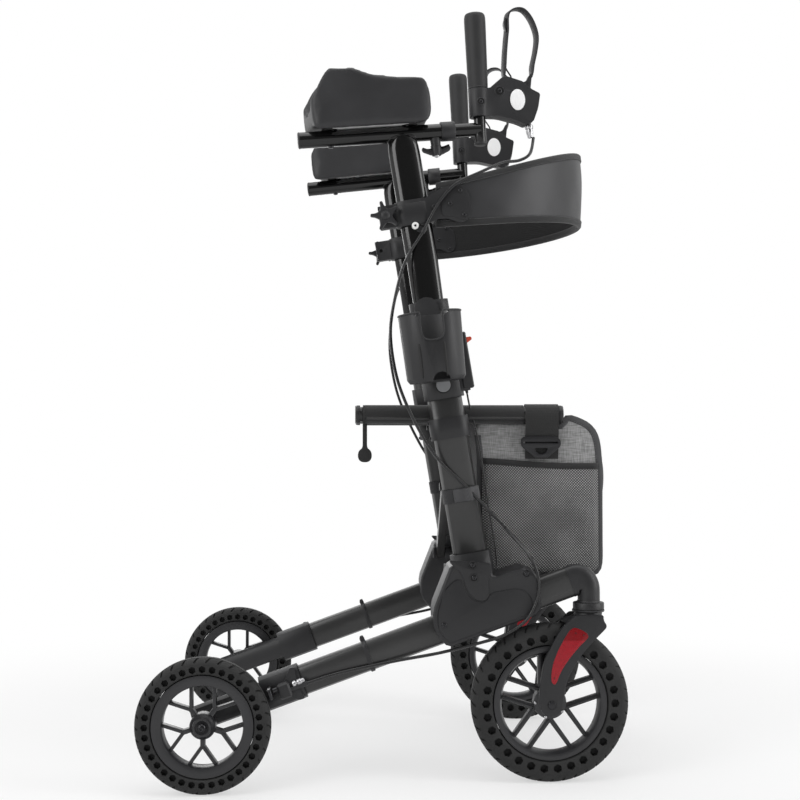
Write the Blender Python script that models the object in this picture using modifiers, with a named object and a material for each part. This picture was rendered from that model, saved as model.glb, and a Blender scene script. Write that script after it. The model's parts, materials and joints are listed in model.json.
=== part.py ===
"""Upright four-wheel rollator with forearm supports, folding seat and front bag.

Metres, +Z up, +X towards the front, +Y to the walker's left.
The origin lies on the ground, under the middle of the bounding box.
Left-hand pieces are modelled at +Y and mirrored to the right.
"""

import math

import bmesh
import bpy
from mathutils import Matrix, Vector

# Clearance between pieces that touch, turn or slide on each other
GAP = 0.0003

# Wheels
REAR_RADIUS = 0.102
REAR_WIDTH = 0.033
REAR_RIM_RADIUS = 0.077
REAR_RIM_FACE = 0.0605
REAR_HUB_HALF = 0.0180
REAR_AXLE_X = -0.275
REAR_WHEEL_Y = 0.275
FRONT_RADIUS = 0.1225
FRONT_WIDTH = 0.036
FRONT_RIM_RADIUS = 0.0886
FRONT_RIM_FACE = 0.079
FRONT_RIM_WAIST = 0.066
SPOKES_PER_WHEEL = 5
TYRE_SEGMENTS = 28
AXLE_RADIUS = 0.0043

# Casters
SIDE_Y = 0.219
CASTER_X = 0.316
CASTER_TRAIL = 0.0615
FORK_INNER_HALF = 0.0215
FORK_BLADE = 0.0075
FORK_CROWN_RISE = 0.0205
STEM_RADIUS = 0.0085
STEM_LENGTH = 0.030
RING_RADIUS = 0.0235
RING_HEIGHT = 0.0115

# Side rail: an oval tube that climbs from the rear axle to the front elbow
RAIL_PITCH = math.radians(19.9)
RAIL_RISE_AT_AXLE = 0.0035
RAIL_HEIGHT = 0.047
RAIL_THICKNESS = 0.025
RAIL_REAR = 0.098
ELBOW_START = 0.592
BRACKET_REACH = 0.155
BRACKET_WALL = 0.004
TUBE_WALL = 0.0022

# Post: wide oval tube that leans back from the hub on the rail
POST_Y = 0.185
POST_ALONG_RAIL = 0.452
POST_LEAN = math.radians(9.5)
POST_WIDTH = 0.055
POST_THICKNESS = 0.031
POST_LENGTH = 0.494
POST_FOOT = 0.0
COLLAR_HEIGHT = 0.032
COLLAR_AT = 0.340
COLLAR_WALL = 0.0045
SADDLE_AT = 0.293
SADDLE_HEIGHT = 0.032
BUTTON_RADIUS = 0.008

# Mast: inner oval tube that slides in the post
MAST_WIDTH = 0.046
MAST_THICKNESS = 0.0235
MAST_BOTTOM = 0.330
MAST_TOP = 0.768
BORE_BOTTOM = 0.060

# Arm: outer tube welded across the mast, handle tube that slides in it
ARM_PITCH = math.radians(5.2)
ARM_TOE_IN = math.radians(5.0)
ARM_RADIUS = 0.013
ARM_REAR = 0.162
ARM_FRONT = 0.070
HANDLE_RADIUS = 0.0110
HANDLE_REAR = 0.050
HANDLE_REACH = 0.130
STEM_TUBE_RADIUS = 0.0098
GRIP_LEAN = math.radians(2.5)
GRIP_RADIUS = 0.0172
GRIP_FROM = 0.0645
GRIP_LENGTH = 0.122
CLAMP_FROM = 0.0192
CLAMP_RADIUS = 0.0165
HOUSING_WIDTH = 0.027
LEVER_WIDTH = 0.015
LEVER_SLOT = 0.0165
LEVER_PIVOT = (0.0322, 0.0579)

# Fold: two crossing bars between the side frames, each with a seat rail on top
PIVOT_Y = 0.154
PIVOT_Z = 0.320
SEAT_RAIL_Y = 0.148
SEAT_RAIL_Z = 0.570
SEAT_RAIL_RADIUS = 0.0125
SEAT_RAIL_REAR = -0.046
SEAT_RAIL_FRONT = 0.286
BRACE_A_X = 0.108
BRACE_B_X = 0.134
BRACE_WIDTH = 0.014
BRACE_HEIGHT = 0.020
PIN_RADIUS = 0.004

# Soft parts
PAD_LENGTH = 0.185
PAD_HALF_WIDTH = 0.043
BAND_THICKNESS = 0.013
BAND_END_HEIGHT = 0.066
BAND_MID_HEIGHT = 0.122
CABLE_RADIUS = 0.0025

X_AXIS, Y_AXIS, Z_AXIS = Vector((1, 0, 0)), Vector((0, 1, 0)), Vector((0, 0, 1))

for old in list(bpy.data.objects):
    bpy.data.objects.remove(old, do_unlink=True)
PARTS = bpy.data.collections.new("rollator")
bpy.context.scene.collection.children.link(PARTS)


# Materials

def finish(name, colour, roughness, metallic=0.0):
    material = bpy.data.materials.new(name)
    material.use_nodes = True
    shader = material.node_tree.nodes["Principled BSDF"]
    shader.inputs["Base Color"].default_value = (*colour, 1.0)
    shader.inputs["Roughness"].default_value = roughness
    shader.inputs["Metallic"].default_value = metallic
    material.diffuse_color = (*colour, 1.0)
    return material


FRAME_GREY = finish("frame_grey", (0.045, 0.046, 0.048), 0.42, 0.6)
GLOSS_BLACK = finish("gloss_black", (0.008, 0.008, 0.009), 0.12, 0.4)
BLACK_PLASTIC = finish("black_plastic", (0.022, 0.022, 0.023), 0.5)
WHEEL_PLASTIC = finish("wheel_plastic", (0.035, 0.035, 0.036), 0.45)
TYRE_RUBBER = finish("tyre_rubber", (0.020, 0.020, 0.020), 0.8)
STEEL = finish("steel", (0.55, 0.55, 0.56), 0.28, 1.0)
BUTTON_GREY = finish("button_grey", (0.22, 0.22, 0.23), 0.4)
REFLECTOR_RED = finish("reflector_red", (0.45, 0.008, 0.012), 0.15)
PAD_FOAM = finish("pad_foam", (0.025, 0.026, 0.029), 0.6)
BAND_CLOTH = finish("band_cloth", (0.020, 0.021, 0.024), 0.6)
SEAT_CLOTH = finish("seat_cloth", (0.014, 0.014, 0.015), 0.85)
BAG_CLOTH = finish("bag_cloth", (0.18, 0.18, 0.18), 0.9)
RELEASE_RED = finish("release_red", (0.62, 0.06, 0.03), 0.4)
CABLE_BLACK = finish("cable_black", (0.012, 0.012, 0.012), 0.45)


# Shapes

def link(name, data, frame=None):
    obj = bpy.data.objects.new(name, data)
    PARTS.objects.link(obj)
    if frame is not None:
        obj.matrix_world = frame
    return obj


def from_bmesh(bm, frame=None):
    bmesh.ops.recalc_face_normals(bm, faces=bm.faces)
    mesh = bpy.data.meshes.new("shape")
    bm.to_mesh(mesh)
    bm.free()
    return link("shape", mesh, frame)


def as_mesh(obj):
    """The object as its modifiers and curve settings shape it, as one plain closed mesh."""
    bpy.context.view_layer.update()
    graph = bpy.context.evaluated_depsgraph_get()
    mesh = bpy.data.meshes.new_from_object(obj.evaluated_get(graph))
    bm = bmesh.new()
    bm.from_mesh(mesh)
    bmesh.ops.remove_doubles(bm, verts=bm.verts, dist=1e-6)
    bmesh.ops.recalc_face_normals(bm, faces=bm.faces)
    bm.to_mesh(mesh)
    bm.free()
    new = link(obj.name, mesh, obj.matrix_world.copy())
    bpy.data.objects.remove(obj, do_unlink=True)
    return new


def boolean(target, operation, others):
    for index, other in enumerate(others):
        modifier = target.modifiers.new(f"{operation.lower()}_{index}", "BOOLEAN")
        modifier.operation = operation
        modifier.object = other
    result = as_mesh(target)
    for other in others:
        bpy.data.objects.remove(other, do_unlink=True)
    return result


def joined(target, *others):
    return boolean(target, "UNION", others)


def cut(target, *others):
    return boolean(target, "DIFFERENCE", others)


def place(x=0.0, y=0.0, z=0.0):
    return Matrix.Translation((x, y, z))


def facing(direction, at=(0, 0, 0), up=Z_AXIS):
    """A frame whose local Z runs along a direction and whose local Y is nearest to up."""
    w = Vector(direction).normalized()
    side = Vector(up).cross(w)
    if side.length < 1e-6:
        side = Vector(X_AXIS)
    u = side.normalized()
    v = w.cross(u)
    return Matrix.Translation(at) @ Matrix((u, v, w)).transposed().to_4x4()


def side_on(at=(0, 0, 0)):
    """Local X forward, local Y up and local Z towards -Y, for outlines seen from the side."""
    return Matrix.Translation(at) @ Matrix.Rotation(math.pi / 2, 4, "X")


def block(size, frame, bevel=0.0, segments=2):
    bm = bmesh.new()
    bmesh.ops.create_cube(bm, size=1.0)
    bmesh.ops.scale(bm, verts=bm.verts, vec=size)
    if bevel:
        edges = list(bm.edges)
        bmesh.ops.bevel(bm, geom=edges, offset=bevel, segments=segments, affect="EDGES", profile=0.5)
    return from_bmesh(bm, frame)


def rod(start, end, radius, sides=16, end_radius=None):
    start, end = Vector(start), Vector(end)
    bm = bmesh.new()
    bmesh.ops.create_cone(
        bm, cap_ends=True, segments=sides, radius1=radius,
        radius2=radius if end_radius is None else end_radius, depth=(end - start).length,
    )
    return from_bmesh(bm, facing(end - start, (start + end) / 2))


def turned(profile, frame, steps=24, closed=True):
    """A profile of (radius, height) turned about local Z.

    A closed profile makes a ring. An open one starts and ends on the axis.
    """
    mesh = bpy.data.meshes.new("profile")
    edges = [(i, i + 1) for i in range(len(profile) - 1)]
    if closed:
        edges.append((len(profile) - 1, 0))
    mesh.from_pydata([(r, 0.0, h) for r, h in profile], edges, [])
    obj = link("turned", mesh, frame)
    screw = obj.modifiers.new("turn", "SCREW")
    screw.axis = "Z"
    screw.steps = screw.render_steps = steps
    screw.use_merge_vertices = True
    screw.merge_threshold = 1e-5
    return as_mesh(obj)


def outline(points, thickness, frame, holes=()):
    """A flat outline filled and made solid, half its thickness to each side of local Z = 0."""
    curve = bpy.data.curves.new("outline", "CURVE")
    curve.dimensions = "2D"
    curve.fill_mode = "BOTH"
    curve.extrude = thickness / 2
    for loop in (points, *holes):
        spline = curve.splines.new("POLY")
        spline.points.add(len(loop) - 1)
        for point, (u, v) in zip(spline.points, loop):
            point.co = (u, v, 0, 1)
        spline.use_cyclic_u = True
    return as_mesh(link("outline", curve, frame))


def rounded(points, radius, facet=45):
    """The corners of an outline rounded, a facet for so many degrees.

    A point's third value is its own radius.
    """
    result = []
    count = len(points)
    for i, point in enumerate(points):
        here = Vector(point[:2])
        r = point[2] if len(point) > 2 else radius
        back = Vector(points[i - 1][:2]) - here
        ahead = Vector(points[(i + 1) % count][:2]) - here
        half = back.angle(ahead) / 2
        if r <= 0 or half > math.radians(87):
            result.append(tuple(here))
            continue
        reach = min(r / math.tan(half), back.length * 0.49, ahead.length * 0.49)
        r = reach * math.tan(half)
        middle = here + (back.normalized() + ahead.normalized()).normalized() * (r / math.sin(half))
        start = here + back.normalized() * reach - middle
        end = here + ahead.normalized() * reach - middle
        turn = start.angle_signed(end)
        steps = max(1, round(math.degrees(abs(turn)) / facet))
        for k in range(steps + 1):
            result.append(tuple(middle + Matrix.Rotation(-turn * k / steps, 2) @ start))
    return result


def oval(width, height, facet=45, radius=None):
    """A rectangle with its short sides rounded almost to half circles."""
    r = min(width, height) * 0.46 if radius is None else radius
    w, h = width / 2, height / 2
    return rounded([(w, -h), (w, h), (-w, h), (-w, -h)], r, facet)


def bar(section, start, end, up):
    """A straight bar of a flat section, whose local Y lies nearest to up."""
    start, end = Vector(start), Vector(end)
    return outline(section, (end - start).length, facing(end - start, (start + end) / 2, up))


def loft(rings):
    """A closed skin through rings of as many points each, capped at both ends."""
    bm = bmesh.new()
    rows = [[bm.verts.new(p) for p in ring] for ring in rings]
    count = len(rows[0])
    for low, high in zip(rows, rows[1:]):
        for i in range(count):
            j = (i + 1) % count
            bm.faces.new((low[i], low[j], high[j], high[i]))
    bm.faces.new(rows[0][::-1])
    bm.faces.new(rows[-1])
    return from_bmesh(bm)


def tube(points, radius, resolution=1):
    curve = bpy.data.curves.new("tube", "CURVE")
    curve.dimensions = "3D"
    curve.bevel_depth = radius
    curve.bevel_resolution = resolution
    curve.use_fill_caps = True
    spline = curve.splines.new("POLY")
    spline.points.add(len(points) - 1)
    for point, co in zip(spline.points, points):
        point.co = (*co, 1)
    return as_mesh(link("tube", curve))


def piece(obj, name, material, pivot=None, soft=False):
    """Names the finished piece, gives it its material and puts its origin on its joint."""
    obj.name = name
    obj.data.name = name
    obj.data.materials.clear()
    obj.data.materials.append(material)
    if pivot is not None:
        bpy.context.view_layer.update()
        obj.data.transform(Matrix.Translation(-Vector(pivot)) @ obj.matrix_world)
        obj.matrix_world = Matrix.Translation(pivot)
    obj.data.shade_smooth()
    obj.data.set_sharp_from_angle(angle=math.radians(60 if soft else 32))
    return obj


def mirrored(obj, name):
    """The same piece on the other side of the walker."""
    bpy.context.view_layer.update()
    flip = Matrix.Scale(-1, 4, Y_AXIS)
    mesh = obj.data.copy()
    mesh.transform(flip)
    mesh.flip_normals()
    mesh.name = name
    return link(name, mesh, flip @ obj.matrix_world @ flip)


def pair(obj, stem, material, pivot=None, soft=False):
    left = piece(obj, f"{stem}_left", material, pivot, soft)
    return left, mirrored(left, f"{stem}_right")


# Wheels: solid rubber tyre on a moulded rim, on a bolt

def axle_frame(x, y, z):
    """Local Z along the axle, outboard on the left."""
    return Matrix.Translation((x, y, z)) @ Matrix.Rotation(-math.pi / 2, 4, "X")


def tyre(radius, width, bead, frame):
    w = width / 2
    wall = radius - bead
    side = [
        (bead + GAP, 0.72 * w), (bead + 0.14 * wall, w), (bead + 0.66 * wall, w), (radius, 0.46 * w),
    ]
    profile = side + [(r, -h) for r, h in reversed(side)]
    return turned(profile, frame, TYRE_SEGMENTS)


def y_spoke(hub, ring, angle, frame):
    """One stem from the hub that forks into two arms at the ring."""
    fork, spread = hub + 0.42 * (ring - hub), math.radians(17)
    stem, arm = 0.0036, 0.0027
    tip = Vector((math.sin(spread), math.cos(spread))) * ring
    along = (tip - Vector((0, fork))).normalized()
    across = Vector((along.y, -along.x)) * arm
    half = [
        (stem, hub), (stem, fork - 0.001), tuple(tip + across), tuple(tip - across),
    ]
    points = half + [(0, fork + 2.1 * arm)] + [(-u, v) for u, v in reversed(half)]
    return outline(points, 0.010, frame @ Matrix.Rotation(angle, 4, "Z"))


def rear_rim(frame):
    face, edge, half = REAR_RIM_FACE, REAR_RIM_RADIUS, REAR_WIDTH / 2 - 0.002
    ring = turned([
        (edge, half - 0.0015), (edge - 0.002, half), (face, half - 0.003),
        (face, 0.003 - half), (edge - 0.002, -half), (edge, 0.0015 - half),
    ], frame, TYRE_SEGMENTS)
    bore, cap = AXLE_RADIUS + GAP, REAR_HUB_HALF
    hub = turned([
        (bore, cap), (0.0140, cap), (0.0200, 0.006), (0.0200, -0.006), (0.0140, -cap), (bore, -cap),
    ], frame, 12)
    spokes = [
        y_spoke(0.0175, face + 0.0005, math.pi + 2 * math.pi * i / SPOKES_PER_WHEEL, frame)
        for i in range(SPOKES_PER_WHEEL)
    ]
    return joined(ring, hub, *spokes)


def front_rim(frame):
    face, edge, waist, half = FRONT_RIM_FACE, FRONT_RIM_RADIUS, FRONT_RIM_WAIST, FRONT_WIDTH / 2 - 0.002
    ring = turned([
        (edge, half), (face, half), (waist, 0.006), (waist, -0.006), (face, -half), (edge, -half),
    ], frame, TYRE_SEGMENTS)
    bore, cap = AXLE_RADIUS + GAP, FORK_INNER_HALF - GAP
    hub = turned([
        (bore, cap), (0.0125, cap), (0.0285, 0.0065), (0.0285, -0.0065), (0.0125, -cap), (bore, -cap),
    ], frame, 12)
    spokes = []
    for i in range(SPOKES_PER_WHEEL):
        turn = frame @ Matrix.Rotation(2 * math.pi * (i + 0.5) / SPOKES_PER_WHEEL, 4, "Z")
        for side in (-1, 1):
            spoke_at = place(side * 0.0130, -(waist + 0.0205) / 2)
            spokes.append(block((0.0078, waist - 0.0165, 0.0100), turn @ spoke_at))
    return joined(ring, hub, *spokes)


rear_axle_at = Vector((REAR_AXLE_X, REAR_WHEEL_Y, REAR_RADIUS))
front_axle_at = Vector((CASTER_X - CASTER_TRAIL, SIDE_Y, FRONT_RADIUS))
rear_wheel_frame = axle_frame(*rear_axle_at)
front_wheel_frame = axle_frame(*front_axle_at)

pair(tyre(REAR_RADIUS, REAR_WIDTH, REAR_RIM_RADIUS, rear_wheel_frame), "rear_tyre", TYRE_RUBBER, rear_axle_at)
pair(rear_rim(rear_wheel_frame), "rear_rim", WHEEL_PLASTIC, rear_axle_at)
front_tyre = tyre(FRONT_RADIUS, FRONT_WIDTH, FRONT_RIM_RADIUS, front_wheel_frame)
pair(front_tyre, "front_tyre", TYRE_RUBBER, front_axle_at)
pair(front_rim(front_wheel_frame), "front_rim", WHEEL_PLASTIC, front_axle_at)

# Rear axle: a shouldered bolt from the brake bracket through the hub to a domed nut
bracket_face = SIDE_Y + RAIL_THICKNESS / 2 + BRACKET_WALL
hub_face = REAR_HUB_HALF + GAP
shoulder = REAR_WHEEL_Y - bracket_face - GAP
pair(turned([
    (0, hub_face + 0.0055), (0.0040, hub_face + 0.0055), (0.0065, hub_face + 0.0035), (0.0065, hub_face),
    (AXLE_RADIUS, hub_face), (AXLE_RADIUS, -hub_face), (0.0085, -hub_face),
    (0.0085, -shoulder), (0, -shoulder),
], rear_wheel_frame, 12, closed=False), "rear_axle", STEEL, rear_axle_at)

# Front axle: a bolt across both blades of the fork
blade_face = FORK_INNER_HALF + FORK_BLADE + GAP
pair(turned([
    (0, blade_face + 0.0018), (0.0058, blade_face + 0.0018), (0.0070, blade_face), (AXLE_RADIUS, blade_face),
    (AXLE_RADIUS, -blade_face), (0.0070, -blade_face),
    (0.0070, -blade_face - 0.0035), (0, -blade_face - 0.0035),
], front_wheel_frame, 12, closed=False), "front_axle", STEEL, front_axle_at)


# Caster fork: two tapering blades under a crown, and the swivel stem

crown_top = 2 * FRONT_RADIUS + FORK_CROWN_RISE
crown_z = crown_top - FRONT_RADIUS


def blade_points(low=True):
    """The blade seen from the side, from the axle. The crown is its upper part."""
    stem = CASTER_TRAIL
    upper = [
        (stem + 0.0205, crown_z, 0.003), (stem + 0.0245, crown_z - 0.0215, 0.010),
        (stem + 0.0080, crown_z - 0.0440, 0.030),
    ]
    if not low:
        return [
            *upper, (0.0080, crown_z - 0.0560), (0.0080, crown_z - 0.0380), (stem - 0.0235, crown_z, 0.003),
        ]
    return [
        *upper, (0.0365, 0.0690, 0.040), (0.0235, 0.0320, 0.080), (0.0185, 0.0000, 0.020),
        (0.0175, -0.0185, 0.0175), (-0.0185, -0.0185, 0.0180), (-0.0192, 0.0180, 0.060),
        (-0.0040, 0.0760, 0.120), (stem - 0.0235, crown_z, 0.010),
    ]


REFLECTOR_POINTS = [
    (0.0316, 0.1165, 0.004), (0.0539, 0.1135, 0.004), (0.0557, 0.1088, 0.004), (0.0280, 0.0735, 0.060),
    (0.0063, 0.0336, 0.004), (-0.0005, 0.0350, 0.004), (0.0085, 0.0730, 0.080),
]


def grown(points, by):
    """An outline moved outwards by a little, corner by corner."""
    result = []
    for i, point in enumerate(points):
        here, back, ahead = (Vector(points[k][:2]) for k in (i, i - 1, (i + 1) % len(points)))
        first, second = (here - back).normalized(), (ahead - here).normalized()
        normal = (Vector((first.y, -first.x)) + Vector((second.y, -second.x))).normalized()
        scale = by / max(0.5, normal.dot(Vector((first.y, -first.x))))
        result.append((*(here + normal * scale), *point[2:]))
    return result


def turn_sign(points):
    area = sum(a[0] * b[1] - b[0] * a[1] for a, b in zip(points, [*points[1:], points[0]]))
    return 1 if area > 0 else -1


recess = 0.0018
blades = []
for side in (-1, 1):
    centre = front_axle_at + Y_AXIS * side * (FORK_INNER_HALF + FORK_BLADE / 2)
    blades.append(outline(rounded(blade_points(), 0.02, 60), FORK_BLADE, side_on(centre)))
crown = outline(rounded(blade_points(False), 0.02, 60), 2 * (FORK_INNER_HALF + 0.001), side_on(front_axle_at))
wheel_space = rod(
    front_axle_at - Y_AXIS * 0.05, front_axle_at + Y_AXIS * 0.05, FRONT_RADIUS + 0.0040, 32)
crown = cut(crown, wheel_space)
stem_at = Vector((CASTER_X, SIDE_Y, crown_top))
stem = rod(stem_at - Z_AXIS * 0.006, stem_at + Z_AXIS * STEM_LENGTH, STEM_RADIUS, 16)
fork = joined(crown, *blades, stem)
axle_hole = rod(front_axle_at - Y_AXIS * 0.05, front_axle_at + Y_AXIS * 0.05, AXLE_RADIUS + GAP, 12)
outer_face = front_axle_at + Y_AXIS * (FORK_INNER_HALF + FORK_BLADE)
inset = grown(REFLECTOR_POINTS, turn_sign(REFLECTOR_POINTS) * GAP)
pocket = outline(rounded(inset, 0.004, 60), 2 * recess, side_on(outer_face))
pair(cut(fork, axle_hole, pocket), "front_fork", BLACK_PLASTIC, stem_at)
lens = outline(rounded(REFLECTOR_POINTS, 0.004, 60), recess + 0.0008 - GAP,
               side_on(outer_face + Y_AXIS * (0.0008 + GAP - recess) / 2))
pair(lens, "fork_reflector", REFLECTOR_RED, stem_at)


# Side rail, elbow and rear brake bracket

rail_start = Vector((REAR_AXLE_X, SIDE_Y, REAR_RADIUS + RAIL_RISE_AT_AXLE))
rail_along = Vector((math.cos(RAIL_PITCH), 0, math.sin(RAIL_PITCH)))
rail_up = Vector((-math.sin(RAIL_PITCH), 0, math.cos(RAIL_PITCH)))
rail_section = oval(RAIL_THICKNESS, RAIL_HEIGHT)


def on_rail(along, up=0.0, out=0.0):
    return rail_start + rail_along * along + rail_up * up + Y_AXIS * out


side_rail = bar(rail_section, on_rail(RAIL_REAR), on_rail(ELBOW_START), rail_up)
rail_hollow = oval(RAIL_THICKNESS - 2 * TUBE_WALL, RAIL_HEIGHT - 2 * TUBE_WALL)
rail_bore = bar(rail_hollow, on_rail(RAIL_REAR - 0.01), on_rail(ELBOW_START + 0.01), rail_up)
pair(cut(side_rail, rail_bore), "side_rail", FRAME_GREY)

ring_bottom = crown_top + GAP
ring_top = ring_bottom + RING_HEIGHT
elbow_bottom = ring_top + 0.004
corner = Vector((CASTER_X - 0.0195, SIDE_Y, elbow_bottom + 0.001))
start = on_rail(ELBOW_START + GAP)
elbow_rings = []
steps = 3
for k in range(-1, steps + 1):
    t = max(0.0, k / steps)
    angle = math.pi / 2 + RAIL_PITCH - t * (math.pi / 2 + RAIL_PITCH)
    up = Vector((math.cos(angle), 0, math.sin(angle)))
    tall = RAIL_HEIGHT * (1 - t) + 0.038 * t
    wide = RAIL_THICKNESS + (0.038 - RAIL_THICKNESS) * min(1.0, t * 1.2)
    inner = on_rail(0, -RAIL_HEIGHT / 2) + rail_along * ((corner - on_rail(0)).dot(rail_along))
    centre = inner.lerp(corner, t) + up * tall / 2
    if k < 0:
        centre = start
    roundness = 0.46 + 0.035 * t
    section = oval(wide, tall, 45, min(wide, tall) * roundness)
    elbow_rings.append([centre + Y_AXIS * u + up * v for u, v in section])
elbow = loft(elbow_rings)
socket = turned([
    (0, elbow_bottom + 0.004), (0.019, elbow_bottom + 0.004), (0.019, ring_top),
    (RING_RADIUS, ring_top - 0.001), (RING_RADIUS, ring_bottom), (0, ring_bottom),
], place(CASTER_X, SIDE_Y), 16, closed=False)
elbow = joined(elbow, socket)
stem_bore = rod(
    stem_at - Z_AXIS * 0.01, stem_at + Z_AXIS * (STEM_LENGTH + GAP), STEM_RADIUS + GAP, 16)
pair(cut(elbow, stem_bore), "front_elbow", BLACK_PLASTIC)

sleeve = bar(
    oval(RAIL_THICKNESS + 2 * BRACKET_WALL, RAIL_HEIGHT + 2 * BRACKET_WALL),
    on_rail(0.092), on_rail(BRACKET_REACH), rail_up)
tail = bar(
    oval(RAIL_THICKNESS + 0.002, RAIL_HEIGHT - 0.008), on_rail(-0.022), on_rail(0.0965), rail_up)
boss = rod((REAR_AXLE_X, SIDE_Y, REAR_RADIUS), (REAR_AXLE_X, bracket_face, REAR_RADIUS), 0.014, 16)
SHOE_OUT = 0.0255
SHOE_UP = 0.004
SHOE_TRAVEL = 0.003
SPINDLE_RADIUS = 0.0035
shoe_arm_at = facing(rail_along, on_rail(0.1270, -0.002, 0.0215), rail_up)
shoe_arm = block((0.020, 0.024, 0.020), shoe_arm_at, 0.003, 1)
adjuster = rod(on_rail(0.134, -0.004, 0.0215), on_rail(0.163, -0.004, 0.0215), 0.0040, 8)
bracket = joined(sleeve, tail, boss, shoe_arm, adjuster)
channel = bar(
    oval(RAIL_THICKNESS + 2 * GAP, RAIL_HEIGHT + 2 * GAP),
    on_rail(RAIL_REAR - GAP), on_rail(BRACKET_REACH + 0.02), rail_up)
way_from, way_to = on_rail(0.11, SHOE_UP, SHOE_OUT), on_rail(0.1290, SHOE_UP, SHOE_OUT)
spindle_way = rod(way_from, way_to, SPINDLE_RADIUS + GAP, 12)
pair(cut(bracket, channel, spindle_way), "brake_bracket", BLACK_PLASTIC)

# Brake shoe: a plate over the inner half of the tread, on a spindle that slides in the bracket
shoe_angle = math.atan2(SHOE_UP + RAIL_RISE_AT_AXLE, REAR_RADIUS)
shoe_from = (REAR_RADIUS + SHOE_TRAVEL) / math.cos(shoe_angle) - 0.0015
shoe_low, shoe_high = SHOE_OUT - 0.0055, REAR_WHEEL_Y - SIDE_Y - 0.003
shoe = block(
    (shoe_high - shoe_low, 0.016, 0.0065),
    facing(rail_along, on_rail(shoe_from + 0.00325, SHOE_UP, (shoe_low + shoe_high) / 2), rail_up), 0.0012, 1)
spindle_from = on_rail(shoe_from + 0.004, SHOE_UP, SHOE_OUT)
spindle = rod(spindle_from, on_rail(0.1275, SHOE_UP, SHOE_OUT), SPINDLE_RADIUS, 12)
pair(joined(shoe, spindle), "brake_shoe", STEEL, on_rail(shoe_from, SHOE_UP, SHOE_OUT))


# Hub cover: moulded housing that clamps the side rail and takes the post and the cross brace

post_foot = on_rail(POST_ALONG_RAIL, 0, POST_Y - SIDE_Y)
post_up = Vector((-math.sin(POST_LEAN), 0, math.cos(POST_LEAN)))
post_ahead = Vector((math.cos(POST_LEAN), 0, math.sin(POST_LEAN)))
rail_side = Matrix.Rotation(-RAIL_PITCH, 4, "Y") @ Matrix.Rotation(math.pi / 2, 4, "X")


def on_post(along, ahead=0.0, out=0.0):
    return post_foot + post_up * along + post_ahead * ahead + Y_AXIS * out


def post_bar(width, thickness, low, high):
    """A bar of oval section along the post's axis."""
    return bar(oval(width, thickness), on_post(low), on_post(high), Y_AXIS)


def chamfered(obj, width):
    bevel = obj.modifiers.new("edge", "BEVEL")
    bevel.width = width
    bevel.segments = 1
    bevel.limit_method = "ANGLE"
    bevel.angle_limit = math.radians(60)
    return as_mesh(obj)


HUB_INNER = 0.1655
HUB_OUTER = 0.2445
HUB_PANEL_DEPTH = 0.0014
hub_points = [
    (-0.0215, 0.0900, 0.006), (0.0400, 0.0680, 0.006), (0.0300, 0.0500, 0.012), (0.0930, 0.0470, 0.014),
    (0.1000, 0.0230, 0.014), (0.0860, -0.0278, 0.012), (-0.0680, -0.0278, 0.008), (-0.0800, 0.0040, 0.014),
    (-0.0705, 0.0345, 0.030), (-0.0399, 0.0692, 0.040),
]
hub_frame = Matrix.Translation(on_rail(POST_ALONG_RAIL, 0, (HUB_INNER + HUB_OUTER) / 2 - SIDE_Y)) @ rail_side
hub = chamfered(outline(rounded(hub_points, 0.01, 60), HUB_OUTER - HUB_INNER, hub_frame), 0.0025)
hub_collar = post_bar(POST_WIDTH + 0.011, POST_THICKNESS + 0.008, 0.040, 0.0935)
ears = []
ear = 0.0050
bar_room = BRACE_WIDTH + 0.0016
for ear_x, thick in (
    (BRACE_A_X - (bar_room + ear) / 2, ear),
    ((BRACE_A_X + BRACE_B_X) / 2, BRACE_B_X - BRACE_A_X - bar_room),
    (BRACE_B_X + (bar_room + ear) / 2, ear),
):
    reach = HUB_INNER + 0.003 - (PIVOT_Y - 0.0085)
    ears.append(block((thick, reach, 0.020), place(ear_x, HUB_INNER + 0.003 - reach / 2, PIVOT_Z)))
pin_half = (BRACE_B_X - BRACE_A_X + bar_room) / 2 + ear + 0.001
pin_x = (BRACE_A_X + BRACE_B_X) / 2
pin = rod((pin_x - pin_half, PIVOT_Y, PIVOT_Z), (pin_x + pin_half, PIVOT_Y, PIVOT_Z), PIN_RADIUS, 12)
panel = outline(
    rounded(grown(hub_points, turn_sign(hub_points) * -0.0065), 0.01, 90), 2 * HUB_PANEL_DEPTH,
    Matrix.Translation(on_rail(POST_ALONG_RAIL, 0, HUB_OUTER - SIDE_Y)) @ rail_side)
rail_way = bar(
    oval(RAIL_THICKNESS + 2 * GAP, RAIL_HEIGHT + 2 * GAP),
    on_rail(POST_ALONG_RAIL - 0.2), on_rail(POST_ALONG_RAIL + 0.2), rail_up)
post_way = post_bar(POST_WIDTH + 2 * GAP, POST_THICKNESS + 2 * GAP, POST_FOOT - GAP, 0.3)
hub = joined(hub, hub_collar, *ears, pin)
pair(cut(hub, rail_way, post_way, panel), "hub_cover", BLACK_PLASTIC)


# Post: outer tube with a bush at its mouth and the saddle that the seat rail rests in

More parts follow.
